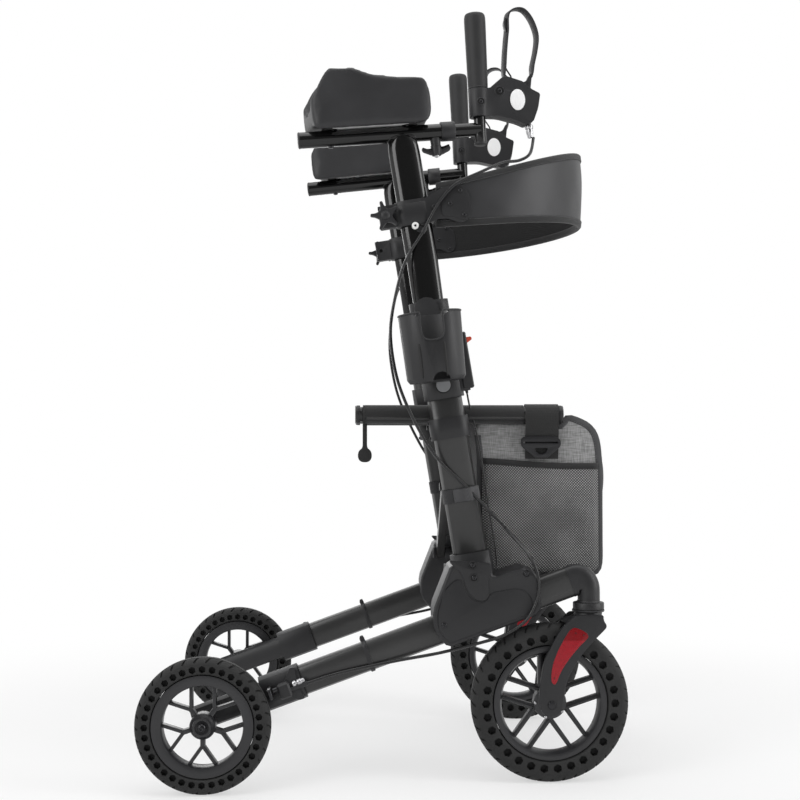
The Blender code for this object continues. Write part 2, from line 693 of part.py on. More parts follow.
post = post_bar(POST_WIDTH, POST_THICKNESS, POST_FOOT, POST_LENGTH)
bush = post_bar(POST_WIDTH + 0.006, POST_THICKNESS + 0.006, POST_LENGTH - 0.016, POST_LENGTH + 0.002)
saddle_ends = (SADDLE_AT - SADDLE_HEIGHT / 2, SADDLE_AT + SADDLE_HEIGHT / 2)
band = post_bar(POST_WIDTH + 0.007, POST_THICKNESS + 0.007, *saddle_ends)
CRADLE_WIDTH = 0.016
cradle_x = BRACE_A_X - BRACE_WIDTH / 2 - 0.0020 - CRADLE_WIDTH / 2
cradle_low = SEAT_RAIL_Z - SEAT_RAIL_RADIUS - 0.012
cradle_out = POST_Y - POST_THICKNESS / 2 + 0.001
cradle_in = SEAT_RAIL_Y - 0.006
cradle = block(
    (CRADLE_WIDTH, cradle_out - cradle_in, 0.0085),
    place(cradle_x, (cradle_out + cradle_in) / 2, cradle_low + 0.0045))
post = joined(post, bush, band, cradle)
mast_way = post_bar(MAST_WIDTH + 2 * GAP, MAST_THICKNESS + 2 * GAP, BORE_BOTTOM, POST_LENGTH + 0.05)
rail_seat = rod(
    (cradle_x - 0.05, SEAT_RAIL_Y, SEAT_RAIL_Z), (cradle_x + 0.05, SEAT_RAIL_Y, SEAT_RAIL_Z),
    SEAT_RAIL_RADIUS + 0.0020 + GAP, 12)
pair(cut(post, mast_way, rail_seat), "post", FRAME_GREY)

# Height collar and its sprung button
collar_half = POST_THICKNESS / 2 + COLLAR_WALL
collar = post_bar(POST_WIDTH + 2 * COLLAR_WALL, 2 * collar_half, COLLAR_AT, COLLAR_AT + COLLAR_HEIGHT)
button_at = on_post(COLLAR_AT + 0.021)
button_face = collar_half + 0.0040
button_boss = rod(button_at + Y_AXIS * (collar_half - 0.003), button_at + Y_AXIS * button_face, 0.0110, 16)
collar = joined(collar, button_boss)
collar_ends = (COLLAR_AT - 0.01, COLLAR_AT + COLLAR_HEIGHT + 0.01)
collar_way = post_bar(POST_WIDTH + 2 * GAP, POST_THICKNESS + 2 * GAP, *collar_ends)
button_way = rod(
    button_at + Y_AXIS * (POST_THICKNESS / 2 - 0.002), button_at + Y_AXIS * 0.05, BUTTON_RADIUS + GAP, 16)
collar = piece(cut(collar, collar_way, button_way), "height_collar_left", BLACK_PLASTIC)
right_collar = mirrored(collar, "height_collar_right")
BUTTON_TRAVEL = 0.003
button_in = button_at + Y_AXIS * (POST_THICKNESS / 2 + GAP + BUTTON_TRAVEL)
button_out = button_at + Y_AXIS * (button_face + BUTTON_TRAVEL)
button = chamfered(rod(button_in, button_out, BUTTON_RADIUS, 16), 0.0008)
pair(button, "height_button", BUTTON_GREY, button_at + Y_AXIS * button_face)


# Arm frame: origin where the arm tube crosses the mast, local X forward along the tube

arm = (
    Matrix.Translation(on_post(MAST_TOP)) @ Matrix.Rotation(-ARM_TOE_IN, 4, "Z")
    @ Matrix.Rotation(-ARM_PITCH, 4, "Y")
)
grip = arm @ place(HANDLE_REACH) @ Matrix.Rotation(GRIP_LEAN, 4, "Y")


def in_arm(x, y=0.0, z=0.0):
    return arm @ Vector((x, y, z))


def in_grip(x, y=0.0, z=0.0):
    return grip @ Vector((x, y, z))


PAD_BOTTOM = 0.0168
PAD_MOUNTS = (-0.112, 0.016)
KNOB_X = 0.056
mast = post_bar(MAST_WIDTH, MAST_THICKNESS, MAST_BOTTOM, MAST_TOP)
arm_tube = rod(in_arm(-ARM_REAR), in_arm(ARM_FRONT), ARM_RADIUS, 16)
arm_collar = rod(in_arm(ARM_FRONT - 0.004), in_arm(ARM_FRONT + 0.018), ARM_RADIUS + 0.002, 16)
nut = rod(in_arm(KNOB_X, 0, -0.0110), in_arm(KNOB_X, 0, -0.0215), 0.0075, 8)
mounts = [
    rod(in_arm(x, 0, ARM_RADIUS - 0.004), in_arm(x, 0, PAD_BOTTOM - GAP), 0.0070, 8) for x in PAD_MOUNTS
]
mast = joined(mast, arm_tube, arm_collar, nut, *mounts)
handle_way = rod(in_arm(-0.090), in_arm(ARM_FRONT + 0.05), HANDLE_RADIUS + GAP, 16)
screw_way = rod(in_arm(KNOB_X, 0, 0), in_arm(KNOB_X, 0, -0.03), 0.0030 + GAP, 12)
mast_hollow = post_bar(
    MAST_WIDTH - 2 * TUBE_WALL, MAST_THICKNESS - 2 * TUBE_WALL, MAST_BOTTOM - 0.01, MAST_TOP - 0.035)
pair(cut(mast, handle_way, screw_way, mast_hollow), "mast", GLOSS_BLACK)

# Wing knob: screw, disc and two wings
screw = rod(in_arm(KNOB_X, 0, -HANDLE_RADIUS - GAP), in_arm(KNOB_X, 0, -0.024), 0.0030, 12)
disc = rod(in_arm(KNOB_X, 0, -0.0215 - GAP), in_arm(KNOB_X, 0, -0.038), 0.0090, 12, 0.0075)
wing_points = [
    (-0.0225, -0.0235, 0.001), (-0.0235, -0.0300, 0.003), (-0.0090, -0.0365, 0.006), (0.0090, -0.0365, 0.006),
    (0.0235, -0.0300, 0.003), (0.0225, -0.0235, 0.001), (0.0100, -0.0285, 0.006), (-0.0100, -0.0285, 0.006),
]
wings = outline(rounded(wing_points, 0.004, 90), 0.0065, arm @ side_on((KNOB_X, 0, 0)))
pair(joined(disc, screw, wings), "wing_knob", BLACK_PLASTIC, in_arm(KNOB_X, 0, -0.030))

# Handle tube: inner tube with the upright stem welded to its end
handle = rod(in_arm(-HANDLE_REAR), in_arm(HANDLE_REACH), HANDLE_RADIUS, 16)
stem_tube = rod(in_grip(0, 0, -0.024), in_grip(0, 0, GRIP_FROM + GRIP_LENGTH - 0.012), STEM_TUBE_RADIUS, 16)
pair(joined(handle, stem_tube), "handle_tube", GLOSS_BLACK, in_arm(HANDLE_REACH))

sleeve_bore = STEM_TUBE_RADIUS + GAP
grip_top = GRIP_FROM + GRIP_LENGTH
pair(turned([
    (0, grip_top), (GRIP_RADIUS * 0.62, grip_top - 0.0006), (GRIP_RADIUS * 0.92, grip_top - 0.0045),
    (GRIP_RADIUS, grip_top - 0.011), (GRIP_RADIUS, GRIP_FROM),
    (sleeve_bore, GRIP_FROM), (sleeve_bore, grip_top - 0.0115), (0, grip_top - 0.0115),
], grip, 16, closed=False), "grip", BLACK_PLASTIC)


# Brake housing on the stem, and the loop lever that turns in its slot

HOUSING_POINTS = [
    (0.0060, 0.0198, 0.001), (0.0300, 0.0186, 0.030), (0.0600, 0.0100, 0.030), (0.0732, 0.0040, 0.003),
    (0.0860, 0.0090, 0.004), (0.0945, 0.0300, 0.030), (0.0990, 0.0535, 0.003), (0.0860, 0.0604, 0.003),
    (0.0700, 0.0740, 0.004), (0.0450, 0.0824, 0.003), (0.0367, 0.0800, 0.006), (0.0170, 0.0640, 0.003),
    (0.0060, 0.0640, 0.001),
]
housing = chamfered(outline(rounded(HOUSING_POINTS, 0.004, 70), HOUSING_WIDTH, grip @ side_on()), 0.0025)
clamp = rod(in_grip(0, 0, CLAMP_FROM), in_grip(0, 0, GRIP_FROM - GAP), CLAMP_RADIUS, 16)
tip = in_grip(0.0800, 0, 0.0080)
tip_way = Vector(grip.to_3x3() @ Vector((0.10, 0, -1))).normalized()
barrel = rod(tip, tip + tip_way * 0.022, 0.0042, 8)
housing = joined(housing, clamp, barrel)
stem_way = rod(in_grip(0, 0, -0.05), in_grip(0, 0, GRIP_FROM + 0.02), sleeve_bore, 16)
slot = block((0.0730, LEVER_SLOT, 0.0640), grip @ place(0.0555, 0, 0.0640))
pivot = in_grip(LEVER_PIVOT[0], 0, LEVER_PIVOT[1])
across = Vector(arm.to_3x3() @ Y_AXIS)
housing = cut(housing, stem_way, slot)
pin_reach = across * (HOUSING_WIDTH / 2 + 0.0008)
pivot_pin = rod(pivot - pin_reach, pivot + pin_reach, 0.0035, 12)
pair(joined(housing, pivot_pin), "brake_housing", BLACK_PLASTIC)

LOOP = [
    (0.0445, 0.0800), (0.0450, 0.1103), (0.0490, 0.1429), (0.0520, 0.1600), (0.0515, 0.1788),
    (0.0555, 0.1890), (0.0660, 0.1945), (0.0764, 0.1925), (0.0859, 0.1795), (0.0925, 0.1620),
    (0.0945, 0.1450), (0.0905, 0.1240),
    (0.0860, 0.1021), (0.0825, 0.0800),
]
LOOP_WALL = 0.0030


def ribbon(path, wall):
    """The outline of a strip of even width along a path."""
    left, right = [], []
    for i, point in enumerate(path):
        here = Vector(point)
        back, ahead = Vector(path[max(0, i - 1)]), Vector(path[min(len(path) - 1, i + 1)])
        way = (ahead - back).normalized()
        normal = Vector((-way.y, way.x)) * wall / 2
        left.append(tuple(here + normal))
        right.append(tuple(here - normal))
    return left + right[::-1]


loop = outline(ribbon(LOOP, LOOP_WALL), LEVER_WIDTH, grip @ side_on())
foot_points = [
    (0.0262, 0.0545, 0.005), (0.0350, 0.0490, 0.006), (0.0600, 0.0500, 0.010), (0.0830, 0.0560, 0.005),
    (0.0850, 0.0860, 0.002), (0.0810, 0.0860, 0.002), (0.0770, 0.0700, 0.008), (0.0520, 0.0760, 0.008),
    (0.0465, 0.0860, 0.003), (0.0430, 0.0860, 0.002), (0.0420, 0.0760, 0.010), (0.0262, 0.0640, 0.006),
]
foot = outline(rounded(foot_points, 0.004, 70), LEVER_WIDTH, grip @ side_on())
pivot_hole = rod(pivot - across * 0.03, pivot + across * 0.03, 0.0035 + GAP, 12)
pair(cut(joined(foot, loop), pivot_hole), "brake_lever", BLACK_PLASTIC, pivot)


# Forearm pad: a padded trough that rises to a wing on each side, highest at the back

def pad_ring(x, top, floor, low, half):
    side = [
        (half * 0.70, low), (half, low + 0.30 * (top - low)), (half * 1.02, top - 0.012), (half * 0.84, top),
        (half * 0.52, floor + 0.008),
    ]
    loop = [(0, low), *side, (0, floor), *[(-y, z) for y, z in reversed(side)]]
    return [in_arm(x, y, z) for y, z in loop]


pad_rear = -0.1385
pad_stations = [
    (0.000, 0.066, 0.046, 0.026, 0.90), (0.009, 0.094, 0.043, PAD_BOTTOM, 0.99),
    (0.030, 0.110, 0.042, PAD_BOTTOM, 1.0),
    (0.066, 0.107, 0.042, PAD_BOTTOM, 1.0), (0.105, 0.088, 0.042, PAD_BOTTOM, 1.0),
    (0.168, 0.080, 0.042, PAD_BOTTOM, 0.99), (0.185, 0.058, 0.046, 0.024, 0.90),
]
pad = loft([
    pad_ring(pad_rear + x * PAD_LENGTH / 0.185, top, floor, low, PAD_HALF_WIDTH * wide)
    for x, top, floor, low, wide in pad_stations
])
soft = pad.modifiers.new("soft", "SUBSURF")
soft.levels = soft.render_levels = 1
pair(as_mesh(pad), "forearm_pad", PAD_FOAM, None, True)


# Backrest: a clamp on each mast with a star knob, and the padded band between them

BACKREST_BELOW_ARM = 0.1286
BACKREST_AT = MAST_TOP - BACKREST_BELOW_ARM
CLAMP_HEIGHT = 0.040
CLAMP_WALL = 0.005
back_at = on_post(BACKREST_AT)
clamp = post_bar(
    MAST_WIDTH + 2 * CLAMP_WALL, MAST_THICKNESS + 2 * CLAMP_WALL,
    BACKREST_AT - CLAMP_HEIGHT / 2, BACKREST_AT + CLAMP_HEIGHT / 2)
bolt_ahead = -0.046
LUG_HALF = 0.009
lug = block(
    (0.036, 2 * LUG_HALF, CLAMP_HEIGHT - 0.004),
    facing(post_up, on_post(BACKREST_AT, bolt_ahead + 0.009), Y_AXIS))
PLATE_INNER = POST_Y + MAST_THICKNESS / 2 + 0.0006
PLATE_THICKNESS = 0.004
plate_points = [
    (0.0060, 0.0150, 0.004), (0.0461, 0.0398, 0.010), (0.0650, 0.0429, 0.006), (0.0855, 0.0366, 0.010),
    (0.0919, 0.0098, 0.020), (0.0887, -0.0120, 0.010), (0.0729, -0.0165, 0.010), (0.0461, -0.0080, 0.020),
    (0.0110, -0.0240, 0.004),
]
plate_at = Vector((back_at.x, PLATE_INNER + PLATE_THICKNESS / 2, back_at.z))
plate = outline(rounded(plate_points, 0.008, 70), PLATE_THICKNESS, side_on(plate_at))
bracket = joined(clamp, lug, plate)
mast_hole = post_bar(
    MAST_WIDTH + 2 * GAP, MAST_THICKNESS + 2 * GAP, BACKREST_AT - CLAMP_HEIGHT, BACKREST_AT + CLAMP_HEIGHT)
bolt_at = on_post(BACKREST_AT, bolt_ahead)
bolt_hole = rod(bolt_at - Y_AXIS * 0.03, bolt_at + Y_AXIS * 0.03, 0.0030 + GAP, 10)
slit = block((0.030, 0.0030, CLAMP_HEIGHT + 0.02), facing(post_up, on_post(BACKREST_AT, bolt_ahead), Y_AXIS))
pair(cut(bracket, mast_hole, bolt_hole, slit), "backrest_bracket", BLACK_PLASTIC)

STAR_RADIUS = 0.024
star_face = MAST_THICKNESS / 2 + CLAMP_WALL + 2 * GAP
star_points = []
for k in range(5):
    tip_angle = math.pi + 2 * math.pi * k / 5
    valley = tip_angle + math.pi / 5
    star_points.append((STAR_RADIUS * math.cos(tip_angle), STAR_RADIUS * math.sin(tip_angle), 0.003))
    star_points.append((0.0105 * math.cos(valley), 0.0105 * math.sin(valley), 0.003))
star = outline(rounded(star_points, 0.003, 70), 0.010, side_on(bolt_at + Y_AXIS * (star_face + 0.005)))
star_hub = rod(bolt_at + Y_AXIS * (LUG_HALF + GAP), bolt_at + Y_AXIS * (star_face + 0.002), 0.0080, 12)
star_bolt = rod(bolt_at - Y_AXIS * (LUG_HALF - 0.001), bolt_at + Y_AXIS * (star_face + 0.004), 0.0030, 10)
pair(joined(star, star_hub, star_bolt), "star_knob", BLACK_PLASTIC, bolt_at)

BAND_AHEAD = 0.0355
BAND_DEPTH = 0.2650
BAND_LIFT = 0.017
band_rear = back_at.x + BAND_AHEAD
band_front = band_rear + BAND_DEPTH
band_half = PLATE_INNER - GAP - BAND_THICKNESS / 2
band_depth = band_front - BAND_THICKNESS / 2 - band_rear
band_low = back_at.z - 0.0200
band_rings = []
for k in range(17):
    angle = math.pi * k / 16 - math.pi / 2
    x = band_rear + band_depth * math.cos(angle) ** 0.9
    y = band_half * math.sin(angle)
    ahead = math.cos(angle) ** 1.1
    low = band_low + BAND_LIFT * 1.6 * ahead
    high = low + BAND_END_HEIGHT + (BAND_MID_HEIGHT - BAND_END_HEIGHT) * ahead
    steepness = 0.9 * math.sin(angle) * max(0.15, math.cos(angle)) ** -0.1
    slope = Vector((-band_depth * steepness, band_half * math.cos(angle), 0))
    normal = Vector((slope.y, -slope.x, 0)).normalized() * BAND_THICKNESS / 2
    if k in (0, 16):
        normal = Vector((0, math.copysign(BAND_THICKNESS / 2, y), 0))
    tall = high - low
    loop = [
        (1.0, 0.25), (0.45, 0.0), (-0.45, 0.0), (-1.0, 0.25),
        (-1.0, 0.75), (-0.45, 1.0), (0.45, 1.0), (1.0, 0.75),
    ]
    band_rings.append([Vector((x, y, low + tall * v)) + normal * u for u, v in loop])
piece(loft(band_rings), "backrest_band", BAND_CLOTH, None, True)


# Cross brace: two bars that cross on one bolt. Each carries the seat rail of the other side

brace_rise = math.atan2(SEAT_RAIL_Z - PIVOT_Z, PIVOT_Y + SEAT_RAIL_Y)
cross_at = Vector((0, 0, PIVOT_Z + PIVOT_Y * math.tan(brace_rise)))
sleeve_radius = SEAT_RAIL_RADIUS + 0.0020


def brace(x, side):
    """The bar at x from the lower pivot on one side (1 is left) to the seat rail on the other."""
    low = Vector((x, side * PIVOT_Y, PIVOT_Z))
    high = Vector((x, -side * SEAT_RAIL_Y, SEAT_RAIL_Z))
    bar_up = X_AXIS.cross(high - low)
    w, h = BRACE_WIDTH / 2, BRACE_HEIGHT / 2
    tie = bar([(w, -h), (w, h), (-w, h), (-w, -h)], low, high, bar_up)
    eye = rod(low - X_AXIS * BRACE_WIDTH / 2, low + X_AXIS * BRACE_WIDTH / 2, BRACE_HEIGHT / 2, 12)
    rail, *caps = [
        rod((start, high.y, high.z), (end, high.y, high.z), radius, 12)
        for start, end, radius in (
            (SEAT_RAIL_REAR, SEAT_RAIL_FRONT, SEAT_RAIL_RADIUS),
            (SEAT_RAIL_REAR - 0.0020, SEAT_RAIL_REAR + 0.0060, sleeve_radius),
            (SEAT_RAIL_FRONT - 0.0030, SEAT_RAIL_FRONT + 0.0020, sleeve_radius),
        )
    ]
    hole = rod(low - X_AXIS * 0.02, low + X_AXIS * 0.02, PIN_RADIUS + GAP, 12)
    return cut(joined(tie, eye, rail, *caps), hole)


brace_a, brace_b = brace(BRACE_A_X, 1), brace(BRACE_B_X, -1)
cross_a = cross_at + X_AXIS * BRACE_A_X
cross_b = cross_at + X_AXIS * BRACE_B_X
between = (BRACE_A_X + BRACE_WIDTH / 2 + GAP, BRACE_B_X - BRACE_WIDTH / 2 + 0.001)
spacer = rod((between[0], 0, cross_at.z), (between[1], 0, cross_at.z), 0.0090, 12)
rear_head = BRACE_A_X - BRACE_WIDTH / 2 - GAP
bolt_head = rod((rear_head - 0.0035, 0, cross_at.z), (rear_head, 0, cross_at.z), 0.0075, 6)
bolt = rod((rear_head - 0.001, 0, cross_at.z), cross_b, PIN_RADIUS, 12)
cross_hole = rod(cross_a - X_AXIS * 0.02, cross_a + X_AXIS * 0.02, PIN_RADIUS + GAP, 12)
piece(cut(brace_a, cross_hole), "brace_a", FRAME_GREY, Vector((BRACE_A_X, PIVOT_Y, PIVOT_Z)))
piece(joined(brace_b, spacer, bolt, bolt_head), "brace_b", FRAME_GREY, cross_b)


# Seat: a sling sewn round both seat rails, sagging a little between them

STRAP_WIDTH = 0.0065
sling_rear = SEAT_RAIL_REAR + 0.0060 + STRAP_WIDTH + 2 * GAP
sling_front = SEAT_RAIL_FRONT - 0.0030 - GAP
SLING_WALL = 0.0026
SLING_SAG = 0.018


def sling_top(y):
    return SEAT_RAIL_Z + sleeve_radius - 0.0004 - SLING_SAG * (1 - (y / SEAT_RAIL_Y) ** 2)


sheet_y = [SEAT_RAIL_Y * (k / 4 - 1) for k in range(9)]
sheet_points = [(y, sling_top(y)) for y in sheet_y]
sheet_points += [(y, z - SLING_WALL) for y, z in reversed(sheet_points)]
middle = Vector(((sling_rear + sling_front) / 2, 0, 0))
sheet = outline(sheet_points, sling_front - sling_rear, facing(X_AXIS, middle, Z_AXIS))
sleeves, rail_ways, notches = [], [], []
for side, brace_x in ((1, BRACE_B_X), (-1, BRACE_A_X)):
    y = side * SEAT_RAIL_Y
    sleeves.append(rod((sling_rear, y, SEAT_RAIL_Z), (sling_front, y, SEAT_RAIL_Z), sleeve_radius, 12))
    rail_ways.append(rod((-0.3, y, SEAT_RAIL_Z), (0.5, y, SEAT_RAIL_Z), SEAT_RAIL_RADIUS + GAP, 12))
    notch_at = place(brace_x, y, SEAT_RAIL_Z + 0.0072 - 0.020)
    notches.append(block((BRACE_WIDTH + 0.003, 0.040, 0.040), notch_at))
sling = joined(sheet, *sleeves)
piece(cut(sling, *rail_ways, *notches), "seat_sling", SEAT_CLOTH, None, True)


# Bag: hangs under and in front of the seat rails, with a pocket on its front

BAG_REAR = 0.160
BAG_FRONT = 0.3525
BAG_LOW = 0.3090
BAG_WALL = 0.0030
bag_half = SEAT_RAIL_Y - 0.0005
bag_top = SEAT_RAIL_Z - sleeve_radius - GAP
flap_rear = SEAT_RAIL_FRONT + 0.0020 + GAP
bag_points = [
    (BAG_REAR, bag_top, 0.004), (flap_rear, bag_top, 0), (flap_rear, bag_top + 0.0150, 0.003),
    (BAG_FRONT - 0.028, bag_top + 0.0060, 0.020), (BAG_FRONT - 0.008, bag_top - 0.0120, 0.015),
    (BAG_FRONT, bag_top - 0.050, 0.05), (BAG_FRONT, BAG_LOW + 0.020, 0.010),
    (BAG_FRONT - 0.012, BAG_LOW, 0.010),
    (BAG_REAR + 0.006, BAG_LOW, 0.012), (BAG_REAR, BAG_LOW + 0.030, 0.03),
]
bag = chamfered(outline(rounded(bag_points, 0.01), 2 * bag_half, side_on()), 0.004)
pocket_high, pocket_low = BAG_LOW + 0.203, BAG_LOW + 0.116
pocket = block(
    (0.016, 2 * (bag_half - 0.035), pocket_high - pocket_low),
    place(BAG_FRONT - 0.0005, 0, (pocket_high + pocket_low) / 2), 0.0060, 1)
inside_front, inside_rear = BAG_FRONT - BAG_WALL, BAG_REAR + BAG_WALL
inside_points = [
    (inside_rear, SEAT_RAIL_Z + 0.02), (BAG_FRONT - 0.0160, SEAT_RAIL_Z + 0.02),
    (BAG_FRONT - 0.0160, bag_top - 0.014), (inside_front, bag_top - 0.050),
    (inside_front, BAG_LOW + 0.018), (BAG_FRONT - 0.014, BAG_LOW + BAG_WALL),
    (BAG_REAR + 0.009, BAG_LOW + BAG_WALL), (inside_rear, BAG_LOW + 0.030),
]
inside = outline(inside_points, 2 * (bag_half - BAG_WALL), side_on())
piece(cut(joined(bag, pocket), inside), "bag", BAG_CLOTH, None, True)


# Brake cables: from each lever's barrel, past the backrest and behind the post to the rear brake

barrel_end = tip + tip_way * (0.022 + GAP)
brake_end = on_rail(0.163 + GAP, -0.004, 0.0215)
out_mast = POST_Y + MAST_THICKNESS / 2 + CLAMP_WALL + CABLE_RADIUS + 0.0015
out_post = POST_Y + POST_THICKNESS / 2 + CABLE_RADIUS + 0.0015
out_hub = HUB_OUTER + CABLE_RADIUS + 0.0020
out_rail = SIDE_Y + RAIL_THICKNESS / 2 + CABLE_RADIUS + 0.0008
below_arm = [
    (0.0619, 0.2015, 0.1790), (0.0708, 0.1819, 0.1830),
    (0.0722, 0.1539, 0.1930), (0.0839, 0.1145, out_mast),
    (0.0970, 0.0717, out_mast + 0.001), (0.1230, 0.0395, out_mast + 0.001),
    (0.1607, 0.0104, out_mast),
]
down_mast = [(0.732, -0.0273), (0.659, -0.0572), (0.595, -0.0751)]
cable_route = [
    barrel_end, barrel_end + tip_way * 0.010,
    *[on_post(MAST_TOP - below, ahead, out - POST_Y) for below, ahead, out in below_arm],
    *[on_post(MAST_TOP * share, ahead, out_post - POST_Y) for share, ahead in down_mast],
    (0.0069, out_post, 0.6391), (0.0224, out_post, 0.5919),
    (0.0510, out_post, 0.5370), (0.0830, out_post, 0.4950), (0.1280, out_post, 0.4545),
    (0.1791, out_post + 0.004, 0.4006), (0.2064, 0.2240, 0.3700),
    (0.2235, 0.2420, 0.3470), (0.2330, out_hub, 0.3219), (0.2347, out_hub, 0.2989),
    (0.2285, out_hub, 0.2758), (0.2143, out_hub, 0.2520), (0.1828, out_hub - 0.003, 0.2304),
    (0.1495, out_rail + 0.006, 0.2185), (0.0835, out_rail + 0.001, 0.2015), (0.0120, out_rail, 0.1887),
    (-0.0713, out_rail + 0.001, 0.1715),
    brake_end + rail_along * 0.012, brake_end,
]
pair(tube(cable_route, CABLE_RADIUS), "brake_cable", CABLE_BLACK, None, True)


# Cup holder on the right post: an open cup with a slot for a handle, on a clip round the post

def only_right(obj, name, material, pivot=None):
    """A piece modelled on the left like the pairs, kept on the right only."""
    left = piece(obj, "left", material, pivot)
    right = mirrored(left, name)
    bpy.data.objects.remove(left, do_unlink=True)
    return right


CUP_AT = 0.3665
CUP_BACK = -0.0120
CUP_LEAN = math.radians(6.4)
CUP_HEIGHT = 0.106
CUP_WALL = 0.0026
CUP_TOP_RADIUS = 0.0487
CUP_BASE_RADIUS = 0.0455
CUP_DEPTH_SHARE = 0.875
cup_inner = POST_Y + collar_half + 0.0040 + BUTTON_TRAVEL + 0.0008
cup_base = on_post(CUP_AT, CUP_BACK)
cup_base.y = cup_inner + CUP_TOP_RADIUS * CUP_DEPTH_SHARE
cup_frame = Matrix.Translation(cup_base) @ Matrix.Rotation(-CUP_LEAN, 4, "Y")
squeeze = Matrix.Scale(CUP_DEPTH_SHARE, 4, Y_AXIS)
cup = turned([
    (0, CUP_WALL), (CUP_BASE_RADIUS - CUP_WALL, CUP_WALL), (CUP_TOP_RADIUS - CUP_WALL, CUP_HEIGHT),
    (CUP_TOP_RADIUS, CUP_HEIGHT), (CUP_BASE_RADIUS, 0.006), (CUP_BASE_RADIUS - 0.004, 0), (0, 0),
], Matrix(), 20, closed=False)
cup.data.transform(squeeze)
cup.matrix_world = cup_frame
MUG_SLOT = 0.0175
slot_points = [
    (-0.0300, CUP_HEIGHT + 0.01, 0), (-0.0300, CUP_HEIGHT - 0.0005, 0),
    (-MUG_SLOT, CUP_HEIGHT - 0.0100, 0.010),
    (-MUG_SLOT, CUP_HEIGHT - 0.0440, 0.016), (MUG_SLOT, CUP_HEIGHT - 0.0440, 0.016),
    (MUG_SLOT, CUP_HEIGHT - 0.0100, 0.010), (0.0300, CUP_HEIGHT - 0.0005, 0), (0.0300, CUP_HEIGHT + 0.01, 0),
]
mug_slot = outline(rounded(slot_points, 0.01, 30), 0.050, cup_frame @ side_on((0, 0.045, 0)))
thumb_notch = rod(
    cup_frame @ Vector((0.006, 0.022, 0)), cup_frame @ Vector((0.006, 0.060, 0)), 0.0135, 12)
cup = cut(cup, mug_slot, thumb_notch)
clip_low, clip_high = CUP_AT + 0.0335, CUP_AT + 0.0575
clip = post_bar(POST_WIDTH + 0.007, POST_THICKNESS + 0.007, clip_low, clip_high)
spine_depth = cup_inner + 0.0015 - (POST_Y + POST_THICKNESS / 2 - 0.001)
spine = block(
    (0.038, spine_depth, 0.094),
    Matrix.Translation(on_post(clip_high, -0.006, POST_THICKNESS / 2 - 0.001 + spine_depth / 2))
    @ Matrix.Rotation(-POST_LEAN, 4, "Y"), 0.002, 1)
tongue_points = [(-0.019, -0.03, 0), (0.019, -0.03, 0), (0.019, 0.032, 0.017), (-0.019, 0.032, 0.017)]
tongue = outline(
    rounded(tongue_points, 0.01, 30), 0.0045,
    Matrix.Translation(on_post(CUP_AT + 0.1035, -0.006, POST_THICKNESS / 2 + 0.0062))
    @ Matrix.Rotation(-POST_LEAN, 4, "Y") @ side_on())
holder = joined(cup, clip, spine, tongue)
clip_way = post_bar(
    POST_WIDTH + 2 * GAP, POST_THICKNESS + 2 * GAP, CUP_AT - 0.02, CUP_AT + CUP_HEIGHT + 0.05)
only_right(cut(holder, clip_way), "cup_holder", BLACK_PLASTIC)

# Fold release: a red thumb lever in a bracket on the front of the right collar
RELEASE_AT = 0.4255
RELEASE_AHEAD = 0.0425
post_turn = Matrix.Rotation(-POST_LEAN, 4, "Y")


def post_block(size, along, ahead, bevel=0.0):
    """A block lined up with the post, its size given as ahead, across and along."""
    return block(size, Matrix.Translation(on_post(along, ahead)) @ post_turn, bevel, 1)


release_size = (0.0180, 0.0180, 0.0900)
release_body = post_block(release_size, RELEASE_AT - 0.0305, RELEASE_AHEAD - 0.0017, 0.0020)
foot_at = COLLAR_AT + COLLAR_HEIGHT - 0.0140
release_foot = post_block((0.0140, 0.0150, 0.0220), foot_at, RELEASE_AHEAD - 0.0065)
release_slot = post_block((0.0200, 0.0086, 0.0260), RELEASE_AT + 0.0020, RELEASE_AHEAD + 0.0045)
release_pin_at = on_post(RELEASE_AT, RELEASE_AHEAD)
release_pin = rod(release_pin_at - Y_AXIS * 0.0085, release_pin_at + Y_AXIS * 0.0085, 0.0020, 10)
release_body = joined(cut(joined(release_body, release_foot), release_slot), release_pin)
release_body = only_right(release_body, "release_body", BLACK_PLASTIC)
piece(joined(right_collar, release_body), "height_collar_right", BLACK_PLASTIC)
tab_points = [
    (-0.0042, -0.0042, 0.004), (0.0060, -0.0046, 0.003), (0.0160, 0.0005, 0.002), (0.0155, 0.0055, 0.002),
    (0.0070, 0.0055, 0.004), (-0.0042, 0.0042, 0.004),
]
tab = outline(rounded(tab_points, 0.003), 0.0080, Matrix.Translation(release_pin_at) @ post_turn @ side_on())
tab_hole = rod(release_pin_at - Y_AXIS * 0.01, release_pin_at + Y_AXIS * 0.01, 0.0020 + GAP, 10)
only_right(cut(tab, tab_hole), "release_lever", RELEASE_RED, release_pin_at)

# Fold strap: a rubber ring round the back of the right seat rail, with a hanging strap and a paddle to pull
strap_x = SEAT_RAIL_REAR + 0.0060 + GAP + STRAP_WIDTH / 2
ring_bore = SEAT_RAIL_RADIUS + GAP
strap_ring = rod(
    (strap_x - STRAP_WIDTH / 2, SEAT_RAIL_Y, SEAT_RAIL_Z),
    (strap_x + STRAP_WIDTH / 2, SEAT_RAIL_Y, SEAT_RAIL_Z),
    ring_bore + 0.0024, 12)
strap_top, strap_low = SEAT_RAIL_Z - ring_bore - 0.0012, SEAT_RAIL_Z - 0.0570
strap_at = place(strap_x, SEAT_RAIL_Y, (strap_top + strap_low) / 2)
strap = block((STRAP_WIDTH, 0.0032, strap_top - strap_low), strap_at)
paddle_points = [
    (-0.0080, 0.0010, 0.003), (0.0080, 0.0010, 0.003), (0.0115, -0.0190, 0.004), (-0.0115, -0.0190, 0.004),
]
paddle = outline(rounded(paddle_points, 0.003), 0.0045, side_on((strap_x, SEAT_RAIL_Y, strap_low)))
